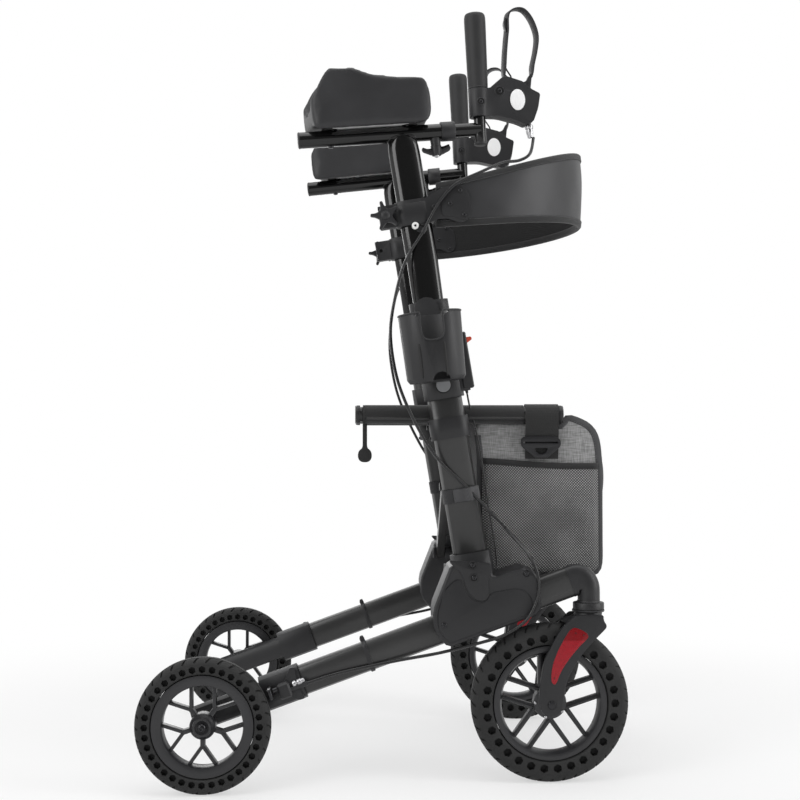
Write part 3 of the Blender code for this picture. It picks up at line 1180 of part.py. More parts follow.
strap_way = rod(
    (strap_x - 0.02, SEAT_RAIL_Y, SEAT_RAIL_Z), (strap_x + 0.02, SEAT_RAIL_Y, SEAT_RAIL_Z), ring_bore, 12)
only_right(cut(joined(strap_ring, strap, paddle), strap_way), "fold_strap", TYRE_RUBBER)
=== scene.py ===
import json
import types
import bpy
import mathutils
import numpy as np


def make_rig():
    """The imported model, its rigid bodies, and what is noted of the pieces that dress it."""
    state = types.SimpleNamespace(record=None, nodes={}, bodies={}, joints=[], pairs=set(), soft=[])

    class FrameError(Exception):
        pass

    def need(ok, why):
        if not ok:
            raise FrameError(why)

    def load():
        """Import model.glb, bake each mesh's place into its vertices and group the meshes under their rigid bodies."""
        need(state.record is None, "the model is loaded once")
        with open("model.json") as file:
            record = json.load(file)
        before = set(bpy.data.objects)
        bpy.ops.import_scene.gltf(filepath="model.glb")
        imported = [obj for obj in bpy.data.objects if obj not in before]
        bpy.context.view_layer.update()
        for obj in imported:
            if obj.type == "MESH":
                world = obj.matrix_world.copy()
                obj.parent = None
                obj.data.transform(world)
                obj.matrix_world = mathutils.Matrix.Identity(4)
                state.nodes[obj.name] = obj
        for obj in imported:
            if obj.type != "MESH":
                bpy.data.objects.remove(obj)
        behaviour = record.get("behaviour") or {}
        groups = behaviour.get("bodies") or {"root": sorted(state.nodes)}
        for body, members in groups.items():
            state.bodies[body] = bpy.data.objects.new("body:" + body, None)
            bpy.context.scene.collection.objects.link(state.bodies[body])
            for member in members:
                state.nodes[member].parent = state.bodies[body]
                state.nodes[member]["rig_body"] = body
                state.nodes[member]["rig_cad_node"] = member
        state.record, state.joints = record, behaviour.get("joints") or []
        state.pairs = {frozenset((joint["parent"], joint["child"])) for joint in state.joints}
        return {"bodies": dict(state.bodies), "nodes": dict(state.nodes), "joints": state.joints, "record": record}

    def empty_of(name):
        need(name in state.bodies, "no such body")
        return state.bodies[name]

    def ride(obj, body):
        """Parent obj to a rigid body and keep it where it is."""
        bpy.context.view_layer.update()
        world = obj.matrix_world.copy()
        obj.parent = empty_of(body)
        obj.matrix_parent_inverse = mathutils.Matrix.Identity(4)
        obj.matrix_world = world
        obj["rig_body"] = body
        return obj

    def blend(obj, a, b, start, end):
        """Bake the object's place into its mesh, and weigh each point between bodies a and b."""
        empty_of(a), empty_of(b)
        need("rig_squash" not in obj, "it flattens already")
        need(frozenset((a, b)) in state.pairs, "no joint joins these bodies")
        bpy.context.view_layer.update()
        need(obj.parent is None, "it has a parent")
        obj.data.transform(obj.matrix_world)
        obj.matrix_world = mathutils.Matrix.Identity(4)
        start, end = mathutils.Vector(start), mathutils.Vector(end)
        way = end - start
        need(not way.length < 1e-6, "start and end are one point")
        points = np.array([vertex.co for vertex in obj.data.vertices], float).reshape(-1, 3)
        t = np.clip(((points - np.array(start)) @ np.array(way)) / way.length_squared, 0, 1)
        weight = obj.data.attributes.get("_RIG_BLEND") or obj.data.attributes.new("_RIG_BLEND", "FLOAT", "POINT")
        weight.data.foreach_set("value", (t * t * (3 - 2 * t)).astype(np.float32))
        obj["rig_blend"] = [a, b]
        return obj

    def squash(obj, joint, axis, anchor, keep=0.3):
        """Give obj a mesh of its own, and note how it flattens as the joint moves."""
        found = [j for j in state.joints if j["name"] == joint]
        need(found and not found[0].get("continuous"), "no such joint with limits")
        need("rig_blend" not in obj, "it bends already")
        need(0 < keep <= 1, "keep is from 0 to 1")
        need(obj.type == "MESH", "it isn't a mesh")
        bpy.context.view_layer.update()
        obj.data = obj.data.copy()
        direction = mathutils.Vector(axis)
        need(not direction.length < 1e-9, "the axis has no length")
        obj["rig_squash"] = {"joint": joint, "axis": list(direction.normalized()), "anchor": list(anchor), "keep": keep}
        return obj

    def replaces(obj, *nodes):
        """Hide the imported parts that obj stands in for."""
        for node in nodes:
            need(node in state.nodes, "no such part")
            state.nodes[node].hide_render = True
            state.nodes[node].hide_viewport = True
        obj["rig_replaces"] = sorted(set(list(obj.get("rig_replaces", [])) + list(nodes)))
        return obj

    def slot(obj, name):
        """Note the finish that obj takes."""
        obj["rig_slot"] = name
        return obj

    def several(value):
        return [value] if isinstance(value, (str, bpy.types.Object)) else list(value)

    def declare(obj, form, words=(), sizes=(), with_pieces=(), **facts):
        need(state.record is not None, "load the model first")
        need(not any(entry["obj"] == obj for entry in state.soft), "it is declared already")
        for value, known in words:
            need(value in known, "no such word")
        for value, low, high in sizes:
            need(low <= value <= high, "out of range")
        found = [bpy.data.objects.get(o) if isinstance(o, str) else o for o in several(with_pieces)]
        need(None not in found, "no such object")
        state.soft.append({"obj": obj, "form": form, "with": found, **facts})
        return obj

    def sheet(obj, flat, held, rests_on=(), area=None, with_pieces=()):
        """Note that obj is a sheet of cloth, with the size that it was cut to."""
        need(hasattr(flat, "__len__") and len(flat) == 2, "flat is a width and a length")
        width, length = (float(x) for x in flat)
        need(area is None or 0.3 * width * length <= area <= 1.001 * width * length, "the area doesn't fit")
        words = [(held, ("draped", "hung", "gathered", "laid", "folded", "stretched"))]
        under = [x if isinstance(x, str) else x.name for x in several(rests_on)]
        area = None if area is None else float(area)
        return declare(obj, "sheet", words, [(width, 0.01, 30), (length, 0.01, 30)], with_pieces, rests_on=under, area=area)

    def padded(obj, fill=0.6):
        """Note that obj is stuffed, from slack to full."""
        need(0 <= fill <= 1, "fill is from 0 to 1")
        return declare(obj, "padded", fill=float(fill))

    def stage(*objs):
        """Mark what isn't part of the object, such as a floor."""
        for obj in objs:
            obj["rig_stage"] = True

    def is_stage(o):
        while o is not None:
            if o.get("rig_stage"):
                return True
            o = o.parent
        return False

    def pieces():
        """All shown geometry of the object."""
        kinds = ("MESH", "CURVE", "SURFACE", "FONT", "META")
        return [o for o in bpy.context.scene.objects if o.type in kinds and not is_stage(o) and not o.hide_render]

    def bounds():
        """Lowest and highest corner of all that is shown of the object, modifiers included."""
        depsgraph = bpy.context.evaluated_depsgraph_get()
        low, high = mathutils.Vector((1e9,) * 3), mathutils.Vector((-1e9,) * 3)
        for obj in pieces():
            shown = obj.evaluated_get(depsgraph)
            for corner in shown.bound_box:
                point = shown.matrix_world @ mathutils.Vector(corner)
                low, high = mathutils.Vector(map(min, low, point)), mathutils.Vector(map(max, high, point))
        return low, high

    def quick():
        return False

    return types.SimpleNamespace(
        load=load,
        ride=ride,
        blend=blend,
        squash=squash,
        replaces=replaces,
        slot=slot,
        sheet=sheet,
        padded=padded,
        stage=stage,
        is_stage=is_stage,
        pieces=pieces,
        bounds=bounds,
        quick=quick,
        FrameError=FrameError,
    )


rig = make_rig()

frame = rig.load()

import json
import math
import random

import bmesh
import bpy
import numpy as np
from mathutils import Matrix, Vector

for leftover in ("Cube", "Light", "Camera"):
    if leftover in bpy.data.objects:
        bpy.data.objects.remove(bpy.data.objects[leftover])
solid_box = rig.bounds()
X, Y, Z = Vector((1, 0, 0)), Vector((0, 1, 0)), Vector((0, 0, 1))

# ---------------------------------------------------------------- viewpoint
# A long lens 2.2 m to the right of the walker, at the height of its seat.
# It is turned a little, so that a line square to the side meets LEVEL_AT in the picture.
EYE = Vector((-0.0403, -2.2, 0.537))
PICTURE_SIDE = 800
LENS_PIXELS = 1270
LEVEL_AT = (360, 435)


def in_scene(name, data):
    """An object that shows a mesh, curve, lamp or lens."""
    made = bpy.data.objects.new(name, data)
    bpy.context.scene.collection.objects.link(made)
    return made


lens = bpy.data.cameras.new("viewpoint")
lens.sensor_width = 36
lens.lens = LENS_PIXELS / PICTURE_SIDE * lens.sensor_width
viewpoint = in_scene("viewpoint", lens)
viewpoint.location = EYE
viewpoint.rotation_euler = (
    math.pi / 2 + math.atan((LEVEL_AT[1] - PICTURE_SIDE / 2) / LENS_PIXELS),
    0,
    -math.atan((PICTURE_SIDE / 2 - LEVEL_AT[0]) / LENS_PIXELS),
)
bpy.context.scene.camera = viewpoint
bpy.context.scene.view_settings.view_transform = "Standard"


# ---------------------------------------------------------------- studio
# A pale floor that fades to white, a white surround with a dark wall at its right side,
# which gloss mirrors, and four soft lamps: above, front left, right and low behind.
class Wire:
    """An output of a node tree that works in sums: each sum adds its Math node."""

    def __init__(self, nodes, socket):
        self.nodes = nodes
        self.socket = socket

    def maths(self, operation, *values, clamp=False):
        settings = {"operation": operation, "use_clamp": clamp}
        return self.nodes.node("ShaderNodeMath", settings, dict(enumerate(values)))

    def __add__(self, other):
        return self.maths("ADD", self, other)

    def __sub__(self, other):
        return self.maths("SUBTRACT", self, other)

    def __rsub__(self, other):
        return self.maths("SUBTRACT", other, self)

    def __mul__(self, other):
        return self.maths("MULTIPLY", self, other)

    def __truediv__(self, other):
        return self.maths("DIVIDE", self, other)

    __radd__ = __add__
    __rmul__ = __mul__

    def above(self, other):
        return self.maths("GREATER_THAN", self, other)

    def wave(self, pitch):
        """A rise and fall from 0 to 1 and back, every pitch metres."""
        return self.maths("SINE", self * (2 * math.pi / pitch)) * 0.5 + 0.5

    def limited(self):
        return self.maths("ADD", self, 0.0, clamp=True)

    def between(self, low, high):
        """0 at low, 1 at high, and a smooth ramp from one to the other."""
        values = {"Value": self, "From Min": low, "From Max": high}
        settings = {"interpolation_type": "SMOOTHSTEP"}
        return self.nodes.node("ShaderNodeMapRange", settings, values)


class Nodes:
    """A tree that grows by node(): its type, its settings, then its values or links."""

    def __init__(self, tree):
        self.tree = tree

    def node(self, kind, settings=(), values=(), out=0):
        made = self.tree.nodes.new(kind)
        for name, value in dict(settings).items():
            setattr(made, name, value)
        for place, value in dict(values).items():
            self.join(value, made, place)
        shown = [s for s in made.outputs if s.enabled]
        if isinstance(out, str):
            return Wire(self, next(s for s in shown if s.name == out))
        return Wire(self, shown[out]) if shown else None

    def join(self, value, made, place):
        sockets = made.inputs
        if isinstance(place, str):
            sockets = [s for s in sockets if s.enabled and s.name == place]
            place = 0
        if isinstance(value, Wire):
            self.tree.links.new(value.socket, sockets[place])
        else:
            sockets[place].default_value = value


class Finish(Nodes):
    """A material on the principled shader. Its patterns read the place on the object."""

    def __init__(self, name, colour, roughness, metallic=0.0, **rest):
        self.material = bpy.data.materials.new(name)
        self.material.use_nodes = True
        super().__init__(self.material.node_tree)
        self.shader = self.tree.nodes["Principled BSDF"]
        self.here = self.node("ShaderNodeTexCoord", out="Object")
        self.give("Base Color", colour)
        self.give("Roughness", roughness)
        self.give("Metallic", metallic)
        for socket, value in rest.items():
            self.give(socket.replace("_", " "), value)

    def give(self, socket, value):
        if isinstance(value, tuple) and len(value) == 3:
            value = (*value, 1)
        self.join(value, self.shader, socket)

    def axis(self, name):
        return self.node("ShaderNodeSeparateXYZ", (), {0: self.here}, out=name)

    def stretched(self, scale, move=(0, 0, 0)):
        values = {"Vector": self.here, "Scale": scale, "Location": move}
        return self.node("ShaderNodeMapping", (), values)

    def noise(self, scale, detail=2.0, place=None):
        values = {"Vector": place or self.here, "Scale": scale, "Detail": detail}
        return self.node("ShaderNodeTexNoise", (), values)

    def cells(self, scale):
        return self.node("ShaderNodeTexVoronoi", (), {"Vector": self.here, "Scale": scale})

    def mixed(self, share, first, second):
        first, second = [
            (*c, 1) if isinstance(c, tuple) and len(c) == 3 else c for c in (first, second)
        ]
        values = {"Factor": share, "A": first, "B": second}
        return self.node("ShaderNodeMix", {"data_type": "RGBA"}, values)

    def bump(self, height, depth, strength=1.0):
        values = {"Strength": strength, "Distance": depth, "Height": height}
        self.give("Normal", self.node("ShaderNodeBump", (), values))


def shade(code):
    """A colour written as six hexadecimal digits, as the shader takes it."""
    parts = [int(code[i : i + 2], 16) / 255 for i in (0, 2, 4)]
    return tuple(c / 12.92 if c < 0.04045 else ((c + 0.055) / 1.055) ** 2.4 for c in parts)


def seen_directly(nodes):
    """1 for the rays that show a surround: straight, mirrored and through glass."""
    path = nodes.node("ShaderNodeLightPath", out="Is Camera Ray")
    rays = path.socket.node.outputs
    return (path + Wire(nodes, rays["Is Glossy Ray"]) + Wire(nodes, rays["Is Transmission Ray"])).limited()


def plain_mesh(name, points, faces, edges=()):
    mesh = bpy.data.meshes.new(name)
    mesh.from_pydata([tuple(p) for p in points], list(edges), faces)
    return in_scene(name, mesh)


FLOOR_REACH = 14.0
floor = plain_mesh(
    "floor",
    [(x * FLOOR_REACH, y * FLOOR_REACH, 0) for x, y in ((-1, -1), (1, -1), (1, 1), (-1, 1))],
    [(0, 1, 2, 3)],
)
pale = Finish("pale_floor", (0.86, 0.86, 0.86), 0.9, Specular_IOR_Level=0.1)
flat_place = pale.stretched((1, 1, 0), move=(-0.03, 0, 0))
away = pale.node("ShaderNodeVectorMath", {"operation": "LENGTH"}, {0: flat_place}, out="Value")
white = pale.node("ShaderNodeEmission", (), {"Color": (1, 1, 1, 1), "Strength": 1.0})
fade = (away.between(0.55, 1.5) * 0.45 + 0.55) * seen_directly(pale)
ground = pale.node("ShaderNodeMixShader", (), {0: fade, 1: Wire(pale, pale.shader.outputs[0]), 2: white})
pale.join(ground, pale.tree.nodes["Material Output"], "Surface")
floor.data.materials.append(pale.material)
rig.stage(floor)

surround = bpy.data.worlds.new("surround")
surround.use_nodes = True
bpy.context.scene.world = surround
sky = Nodes(surround.node_tree)
AMBIENT = 0.52
toward = sky.node("ShaderNodeTexCoord", out="Generated")
across_room = sky.node("ShaderNodeSeparateXYZ", (), {0: toward}, out="Y")
dark_side = (across_room * -1.0).between(0.25, 0.92) * 0.8
gloss_rays = sky.node("ShaderNodeLightPath", out="Is Glossy Ray")
brightness = (seen_directly(sky) * (1 - AMBIENT) + AMBIENT) * (1 - dark_side * gloss_rays)
sky.join(brightness, sky.tree.nodes["Background"], "Strength")
sky.tree.nodes["Background"].inputs["Color"].default_value = (1, 1, 1, 1)

# Each lamp: its place, its size and its power in watts.
LAMPS = {
    "above": ((0.1, -0.3, 2.9), (2.2, 2.2), 26),
    "front_left": ((-2.1, -2.0, 1.7), (1.2, 1.8), 30),
    "right": ((2.3, -1.0, 1.2), (0.7, 2.0), 22),
    "behind": ((-0.6, 2.4, 1.3), (1.4, 1.4), 14),
}
for name, (place, size, power) in LAMPS.items():
    lamp = bpy.data.lights.new(name, "AREA")
    lamp.shape = "RECTANGLE"
    lamp.size, lamp.size_y = size
    lamp.energy = power
    stand = in_scene(name, lamp)
    stand.location = place
    aim = Vector((0.0, 0.0, 0.6)) - stand.location
    stand.rotation_euler = aim.to_track_quat("-Z", "Y").to_euler()


# ---------------------------------------------------------------- brake cables
# Two 5 mm cables in a black plastic jacket, one a side, each from its lever's adjuster,
# past the backrest, behind the post and round the hub to the rear brake, held by clips.
def mm(points):
    """Points written in millimetres, in metres."""
    return [tuple(v / 1000 for v in point) for point in points]


CABLE_ROUTE = mm([(240, 164, 1018), (232.2, 179, 989), (214.3, 183, 977), (187, 193, 971), (150, 205.8, 953),
    (110, 206.8, 933), (82.5, 206.8, 902), (60, 205.8, 860), (30.4, 204.5, 809), (10, 204.5, 749.3),
    (0.6, 204.5, 697.3), (6.9, 204.5, 639.1), (22.4, 204.5, 591.9), (51, 204.5, 537), (83, 204.5, 495),
    (128, 204.5, 454.5), (179.1, 208.5, 400.6), (206.4, 224, 370), (223.5, 242, 347), (233, 249, 321.9),
    (234.7, 249, 298.9), (228.5, 249, 275.8), (214.3, 249, 252), (182.8, 246, 230.4), (149.5, 240.8, 218.5),
    (83.5, 235.8, 201.5), (12, 234.8, 188.7), (-71.3, 235.8, 171.5), (-120.9, 240.5, 157)])
MAST_CLIP = 7
POST_CLIP = 15
CABLE_RADIUS = 0.0025
SIDES = {"left": 1, "right": -1}


class Shapes(Nodes):
    """A geometry tree with named inputs, whose result becomes a plain mesh."""

    KINDS = {
        float: "NodeSocketFloat",
        int: "NodeSocketInt",
        bpy.types.Material: "NodeSocketMaterial",
        bpy.types.Object: "NodeSocketObject",
    }

    def __init__(self, name, **inputs):
        super().__init__(bpy.data.node_groups.new(name, "GeometryNodeTree"))
        add = self.tree.interface.new_socket
        add("Geometry", in_out="INPUT", socket_type="NodeSocketGeometry")
        add("Geometry", in_out="OUTPUT", socket_type="NodeSocketGeometry")
        self.identifiers = {}
        for size, kind in {**inputs, "Material": bpy.types.Material}.items():
            made = add(size, in_out="INPUT", socket_type=self.KINDS[kind])
            self.identifiers[size] = made.identifier
        self.start = self.tree.nodes.new("NodeGroupInput")
        self.end = self.tree.nodes.new("NodeGroupOutput")

    def given(self, name):
        return Wire(self, self.start.outputs[name])

    def xyz(self, **values):
        return self.node("ShaderNodeCombineXYZ", (), values)

    def copies(self, points, piece, turn, **rest):
        """A copy of the piece at each point, turned there."""
        values = {"Points": points, "Instance": piece, "Rotation": turn, **rest}
        return self.node("GeometryNodeInstanceOnPoints", (), values)

    def ends_in(self, geometry):
        real = self.node("GeometryNodeRealizeInstances", (), {0: geometry})
        values = {"Geometry": real, "Material": self.given("Material")}
        self.join(self.node("GeometryNodeSetMaterial", (), values), self.end, 0)
        return self

    def put_on(self, obj, finish, **values):
        modifier = obj.modifiers.new(self.tree.name, "NODES")
        modifier.node_group = self.tree
        for size, value in {**values, "Material": finish.material}.items():
            modifier[self.identifiers[size]] = value
        return obj

    def made_on(self, obj, finish, **values):
        return plain(self.put_on(obj, finish, **values))


def plain(obj):
    """The object with its modifiers worked into its mesh."""
    bpy.context.view_layer.update()
    shown = obj.evaluated_get(bpy.context.evaluated_depsgraph_get())
    mesh = bpy.data.meshes.new_from_object(shown)
    obj.modifiers.clear()
    obj.data = mesh
    return obj


def smooth_line(points, steps=6, closed=False):
    """Points on a smooth line through the given ones."""
    points = [Vector(p) for p in points]
    count = len(points)
    line = []
    for i in range(count if closed else count - 1):
        near = [i + k if closed else min(max(i + k, 0), count - 1) for k in (-1, 0, 1, 2)]
        a, b, c, d = (points[k % count] for k in near)
        for step in range(steps):
            t = step / steps
            bend = (2 * a - 5 * b + 4 * c - d) * t * t + (3 * b - a - 3 * c + d) * t**3
            line.append((2 * b + (c - a) * t + bend) / 2)
    return line if closed else line + [points[-1]]


def mirrored(points, side):
    return [Vector((p[0], p[1] * side, p[2])) for p in points]


def thread(name, points, closed=False):
    """A bare line of edges, for a tree to put a body round."""
    last = len(points)
    return plain_mesh(name, points, [], [(i, (i + 1) % last) for i in range(last if closed else last - 1)])


round_body = Shapes("round_body", Radius=float, Sides=int)
node, given = round_body.node, round_body.given
circle_size = {"Radius": given("Radius"), "Resolution": given("Sides")}
circle = node("GeometryNodeCurvePrimitiveCircle", {"mode": "RADIUS"}, circle_size)
middle_line = node("GeometryNodeMeshToCurve", (), {0: given("Geometry")})
body_parts = {"Curve": middle_line, "Profile Curve": circle, "Fill Caps": True}
round_body.ends_in(node("GeometryNodeCurveToMesh", (), body_parts))


class Edited:
    """A mesh opened for edits in a with block, and written back after it."""

    def __init__(self, mesh):
        self.mesh = mesh
        self.edit = bmesh.new()

    def __enter__(self):
        self.edit.from_mesh(self.mesh)
        return self.edit

    def __exit__(self, *problem):
        self.edit.to_mesh(self.mesh)
        self.edit.free()


def softly_shaded(obj, angle=34):
    """Smooth shading that stops at edges sharper than angle degrees."""
    obj.data.shade_smooth()
    with Edited(obj.data) as edit:
        for edge in edit.edges:
            edge.smooth = len(edge.link_faces) == 2 and edge.calc_face_angle(0) < math.radians(angle)
    return obj


def strand(name, points, radius, finish, sides=12, closed=False):
    """A round body along a line: a cable, a bent wire, a piping or a ring."""
    made = thread(name, points, closed)
    round_body.made_on(made, finish, Radius=radius, Sides=sides)
    return softly_shaded(made, 50)


def fitted(obj, body, slot="black_plastic", *stands_for):
    """The piece rides on its body, has its slot, and stands for the named solids."""
    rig.ride(obj, body)
    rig.slot(obj, slot)
    if stands_for:
        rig.replaces(obj, *stands_for)
    return obj


jacket = Finish("cable_jacket", shade("1c1c1d"), 0.3)
jacket.give("Roughness", jacket.noise(60) * 0.16 + 0.2)
jacket.bump(jacket.noise(1400, 1.0), 0.0001, 0.5)

SLACK = {9: 0.004, 10: 0.007, 11: 0.008, 12: 0.0075, 13: 0.006, 14: 0.003}
LEFT_SLACK = 2.2
for hand, side in SIDES.items():
    route = mirrored(CABLE_ROUTE, side)
    for k, closer in SLACK.items():
        route[k] = Vector(route[k]) + X * closer * (1 if side < 0 else LEFT_SLACK)
    for part, line, above, below, first, last in (
        ("upper", route[: MAST_CLIP + 1], f"handle_{hand}", f"mast_{hand}", 0, MAST_CLIP),
        ("lower", route[MAST_CLIP:], f"mast_{hand}", f"{hand}_frame", MAST_CLIP, POST_CLIP),
    ):
        cable = strand(f"cable_{part}_{hand}", smooth_line(line), CABLE_RADIUS, jacket)
        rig.blend(cable, above, below, route[first], route[last])
        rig.slot(cable, "cable_black")
        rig.replaces(cable, f"brake_cable_{hand}")


# ---------------------------------------------------------------- side rails, posts and cross brace
# Extruded oval aluminium tubes with an anthracite satin powder coat. The rails run from
# the rear axle to the front elbow, the posts stand in the hub covers, the braces cross.
def coated(name, colour, roughness, grain, metallic=0.35):
    """Powder coat: a fine orange peel, and a little dust and handling in the gloss."""
    made = Finish(name, colour, roughness, metallic)
    peel = made.noise(grain, 2.0)
    cloud = made.noise(7.0, 4.0)
    made.give("Roughness", (cloud - 0.5) * 0.16 + (peel - 0.5) * 0.06 + roughness)
    dusty = tuple(min(1.0, c * 1.35 + 0.004) for c in colour)
    made.give("Base Color", made.mixed(cloud.between(0.42, 0.75) * 0.55, colour, dusty))
    made.bump(peel, 0.00012, 0.35)
    return made


frame_paint = coated("frame_paint", shade("343434"), 0.3, 900)

shading = Shapes("soft_shading", Angle=float)
sharp = shading.node("GeometryNodeInputMeshEdgeAngle").above(shading.given("Angle"))
by_angle = {0: shading.given("Geometry"), "Remove Custom": True, "Edge Sharpness": sharp,
    "Face Sharpness": False}
shading.ends_in(shading.node("GeometryNodeSetMeshNormal", {"mode": "SHARPNESS"}, by_angle))


def dressed(solid_name, finish, rounding=0.0005, angle=34):
    """A carried-over solid gets its finish, and the small round that its edges have."""
    solid = frame["nodes"][solid_name]
    solid.material_slots[0].material = finish.material
    solid.modifiers.new("merged_corners", "WELD").merge_threshold = 0.00001
    whole = solid.modifiers.new("whole_faces", "DECIMATE")
    whole.decimate_type = "DISSOLVE"
    whole.angle_limit = math.radians(0.5)
    edges = solid.modifiers.new("rounded_edges", "BEVEL")
    edges.width = rounding
    edges.segments = 2
    edges.limit_method = "ANGLE"
    edges.angle_limit = math.radians(angle)
    edges.harden_normals = False
    shading.put_on(solid, finish, Angle=math.radians(angle))
    return solid


for hand in SIDES:
    dressed(f"side_rail_{hand}", frame_paint)
    dressed(f"post_{hand}", frame_paint, 0.0008)
dressed("brace_a", frame_paint)
dressed("brace_b", frame_paint)


# ---------------------------------------------------------------- bag
# A sewn bag under and in front of the seat rails: linen-look coated polyester panels,
# mesh pockets on both sides and the front, dark tape bound round every side edge.
BAG_HALF = 0.1445
BAG_OUTLINE = mm([(150, 554), (200, 554.5), (250, 554.8), (286, 556), (290, 565), (300, 568.5), (315, 564),
    (332, 555), (344, 540), (350, 515), (352, 470), (352, 420), (352, 370), (351.5, 330), (345, 314),
    (330, 309.5), (270, 309), (220, 309), (185, 310), (165, 317), (153, 335), (150, 380), (150, 440),
    (150, 500)])
BAG_FOLDED = 0.27
BINDING_WIDTH = 0.0095
HEM_HEIGHT = 0.0098


def woven(name, colour, other, roughness, pitch, slub=0.5, depth=0.0003):
    """Cloth of crossed threads: warp and weft that thicken and fade along their length."""
    made = Finish(name, colour, roughness, Sheen_Weight=0.15, Sheen_Roughness=0.6)
    long_x = made.noise(1.0, 3.0, made.stretched((60, 60, 900)))
    long_z = made.noise(1.0, 3.0, made.stretched((900, 900, 60)))
    across = made.axis("X") + made.axis("Y")
    weave = across.wave(pitch) * made.axis("Z").wave(pitch)
    uneven = (long_x + long_z) * 0.5
    tone = (uneven.between(0.34, 0.66) * slub + weave * (1 - slub)).limited()
    made.give("Base Color", made.mixed(tone, other, colour))
    made.give("Roughness", uneven * 0.2 + (roughness - 0.1))
    made.bump(weave + uneven, depth, 0.6)
    return made


linen = woven("bag_linen", shade("a6a6a6"), shade("646464"), 0.8, 0.0022, 0.8)
dark_cloth = woven("dark_cloth", shade("3c3c3e"), shade("242426"), 0.85, 0.0016, 0.35)
tape = woven("binding_tape", shade("4a4a4b"), shade("38383a"), 0.8, 0.0012, 0.25)
hem_tape = woven("hem_tape", shade("141415"), shade("0c0c0d"), 0.8, 0.0012, 0.25)

netting = Finish("pocket_netting", shade("2a2a2a"), 0.7)
NET_PITCH = 0.0044
slant, level = netting.axis("X") + netting.axis("Y"), netting.axis("Z")
thread_mask = ((slant + level).wave(NET_PITCH) * (slant - level).wave(NET_PITCH)).between(0.14, 0.36)
worn = netting.noise(14.0, 3.0).between(0.35, 0.7)
behind = netting.mixed(worn, shade("a0a0a0"), shade("7c7c7c"))
netting.give("Base Color", netting.mixed(thread_mask, shade("242424"), behind))
netting.give("Roughness", thread_mask * 0.2 + 0.6)
netting.bump(1 - thread_mask, 0.0006, 0.8)


def even_line(points, count, closed=True):
    """The given number of evenly spaced points along a line."""
    line = smooth_line(points, 8, closed)
    ends = line + [line[0]] if closed else line
    steps = [0.0]
    for a, b in zip(ends, ends[1:]):
        steps.append(steps[-1] + (b - a).length)
    wanted = [steps[-1] * k / (count if closed else count - 1) for k in range(count)]
    axes = [np.interp(wanted, steps, [p[i] for p in ends]) for i in range(len(points[0]))]
    return [Vector(p) for p in zip(*axes)]


def grid(name, rows, finish, around=False, capped=False):
    """A mesh over rows of points: round each row if around, its ends closed if capped."""
    count = len(rows[0])
    points = [p for row in rows for p in row]
    faces = []
    for i in range(len(rows) - 1):
        for j in range(count if around else count - 1):
            k = (j + 1) % count
            faces.append((i * count + j, i * count + k, (i + 1) * count + k, (i + 1) * count + j))
    if capped:
        faces.append(tuple(reversed(range(count))))
        faces.append(tuple(range(len(points) - count, len(points))))
    made = plain_mesh(name, points, faces)
    with Edited(made.data) as edit:
        bmesh.ops.remove_doubles(edit, verts=edit.verts, dist=0.000002)
        bmesh.ops.recalc_face_normals(edit, faces=edit.faces)
    made.data.materials.append(finish.material)
    made.data.shade_smooth()
    return made


def faded(value, low, high):
    """0 at low, 1 at high, and a smooth ramp from one to the other."""
    t = min(1.0, max(0.0, (value - low) / (high - low)))
    return t * t * (3 - 2 * t)


def inward(outline, at):
    """The direction into a closed outline at one of its points."""
    ahead = (outline[(at + 1) % len(outline)] - outline[at - 1]).normalized()
    return Vector((-ahead.y, ahead.x)) if turns_left(outline) else Vector((ahead.y, -ahead.x))


def turns_left(outline):
    pairs = zip(outline, outline[1:] + outline[:1])
    return sum(a.x * b.y - a.y * b.x for a, b in pairs) > 0


bag_edge = even_line(BAG_OUTLINE, 96)
bag_middle = Vector((0.258, 0.432))
random.seed(7)
fold_at = [(random.uniform(0.18, 0.34), random.uniform(0.0, 6.28)) for _ in range(5)]


def bag_slack(x, y, z):
    """How far the cloth hangs away from its cut shape, outwards from the bag's middle."""
    low = faded(0.56 - z, 0.0, 0.22)
    ripple = sum(math.sin((x - at) * 70 + z * 14 + turn) for at, turn in fold_at) / 5
    return 0.0035 * low + 0.0016 * ripple * (1 - 0.4 * low)


bag_side = [
    (share, -BAG_HALF - 0.001, 1 - share**2)
    for share in (0.0, 0.12, 0.25, 0.4, 0.55, 0.7, 0.82, 0.9, 0.96, 1.0)
]
bag_rows = bag_side + [(1.0, float(y), None) for y in np.linspace(-BAG_HALF, BAG_HALF, 25)]
bag_rows += [(share, -y, crown) for share, y, crown in reversed(bag_side)]
bag_points = []
for share, y, crown in bag_rows:
    row = []
    for k, edge in enumerate(bag_edge):
        p = bag_middle.lerp(edge, share)
        if crown is None:
            bulge = 1 - (y / BAG_HALF) ** 2
            slack = bag_slack(y + 0.25, 0, p.y) * (1.0 if p.x > 0.25 else 0.6)
            p = p - inward(bag_edge, k) * bulge * slack * (0.2 if edge.y > 0.54 and edge.x < 0.3 else 1.0)
            row.append((p.x, y, p.y))
        else:
            slack = bag_slack(p.x, y, p.y) * crown
            row.append((p.x, y + math.copysign(slack, y), p.y))
    bag_points.append(row)
bag = grid("bag_body", bag_points, linen, around=True)
bag.data.materials.append(dark_cloth.material)
for face in bag.data.polygons:
    at = face.center
    if abs(face.normal.y) < 0.6 and (at.x < 0.2 or at.z < 0.33 or at.z > 0.545):
        face.material_index = 1


def without(obj, unwanted):
    """The object without the faces that are unwanted by their middle and their normal."""
    with Edited(obj.data) as edit:
        gone = [face for face in edit.faces if unwanted(face.calc_center_median(), face.normal)]
        bmesh.ops.delete(edit, geom=gone, context="FACES")
    return obj


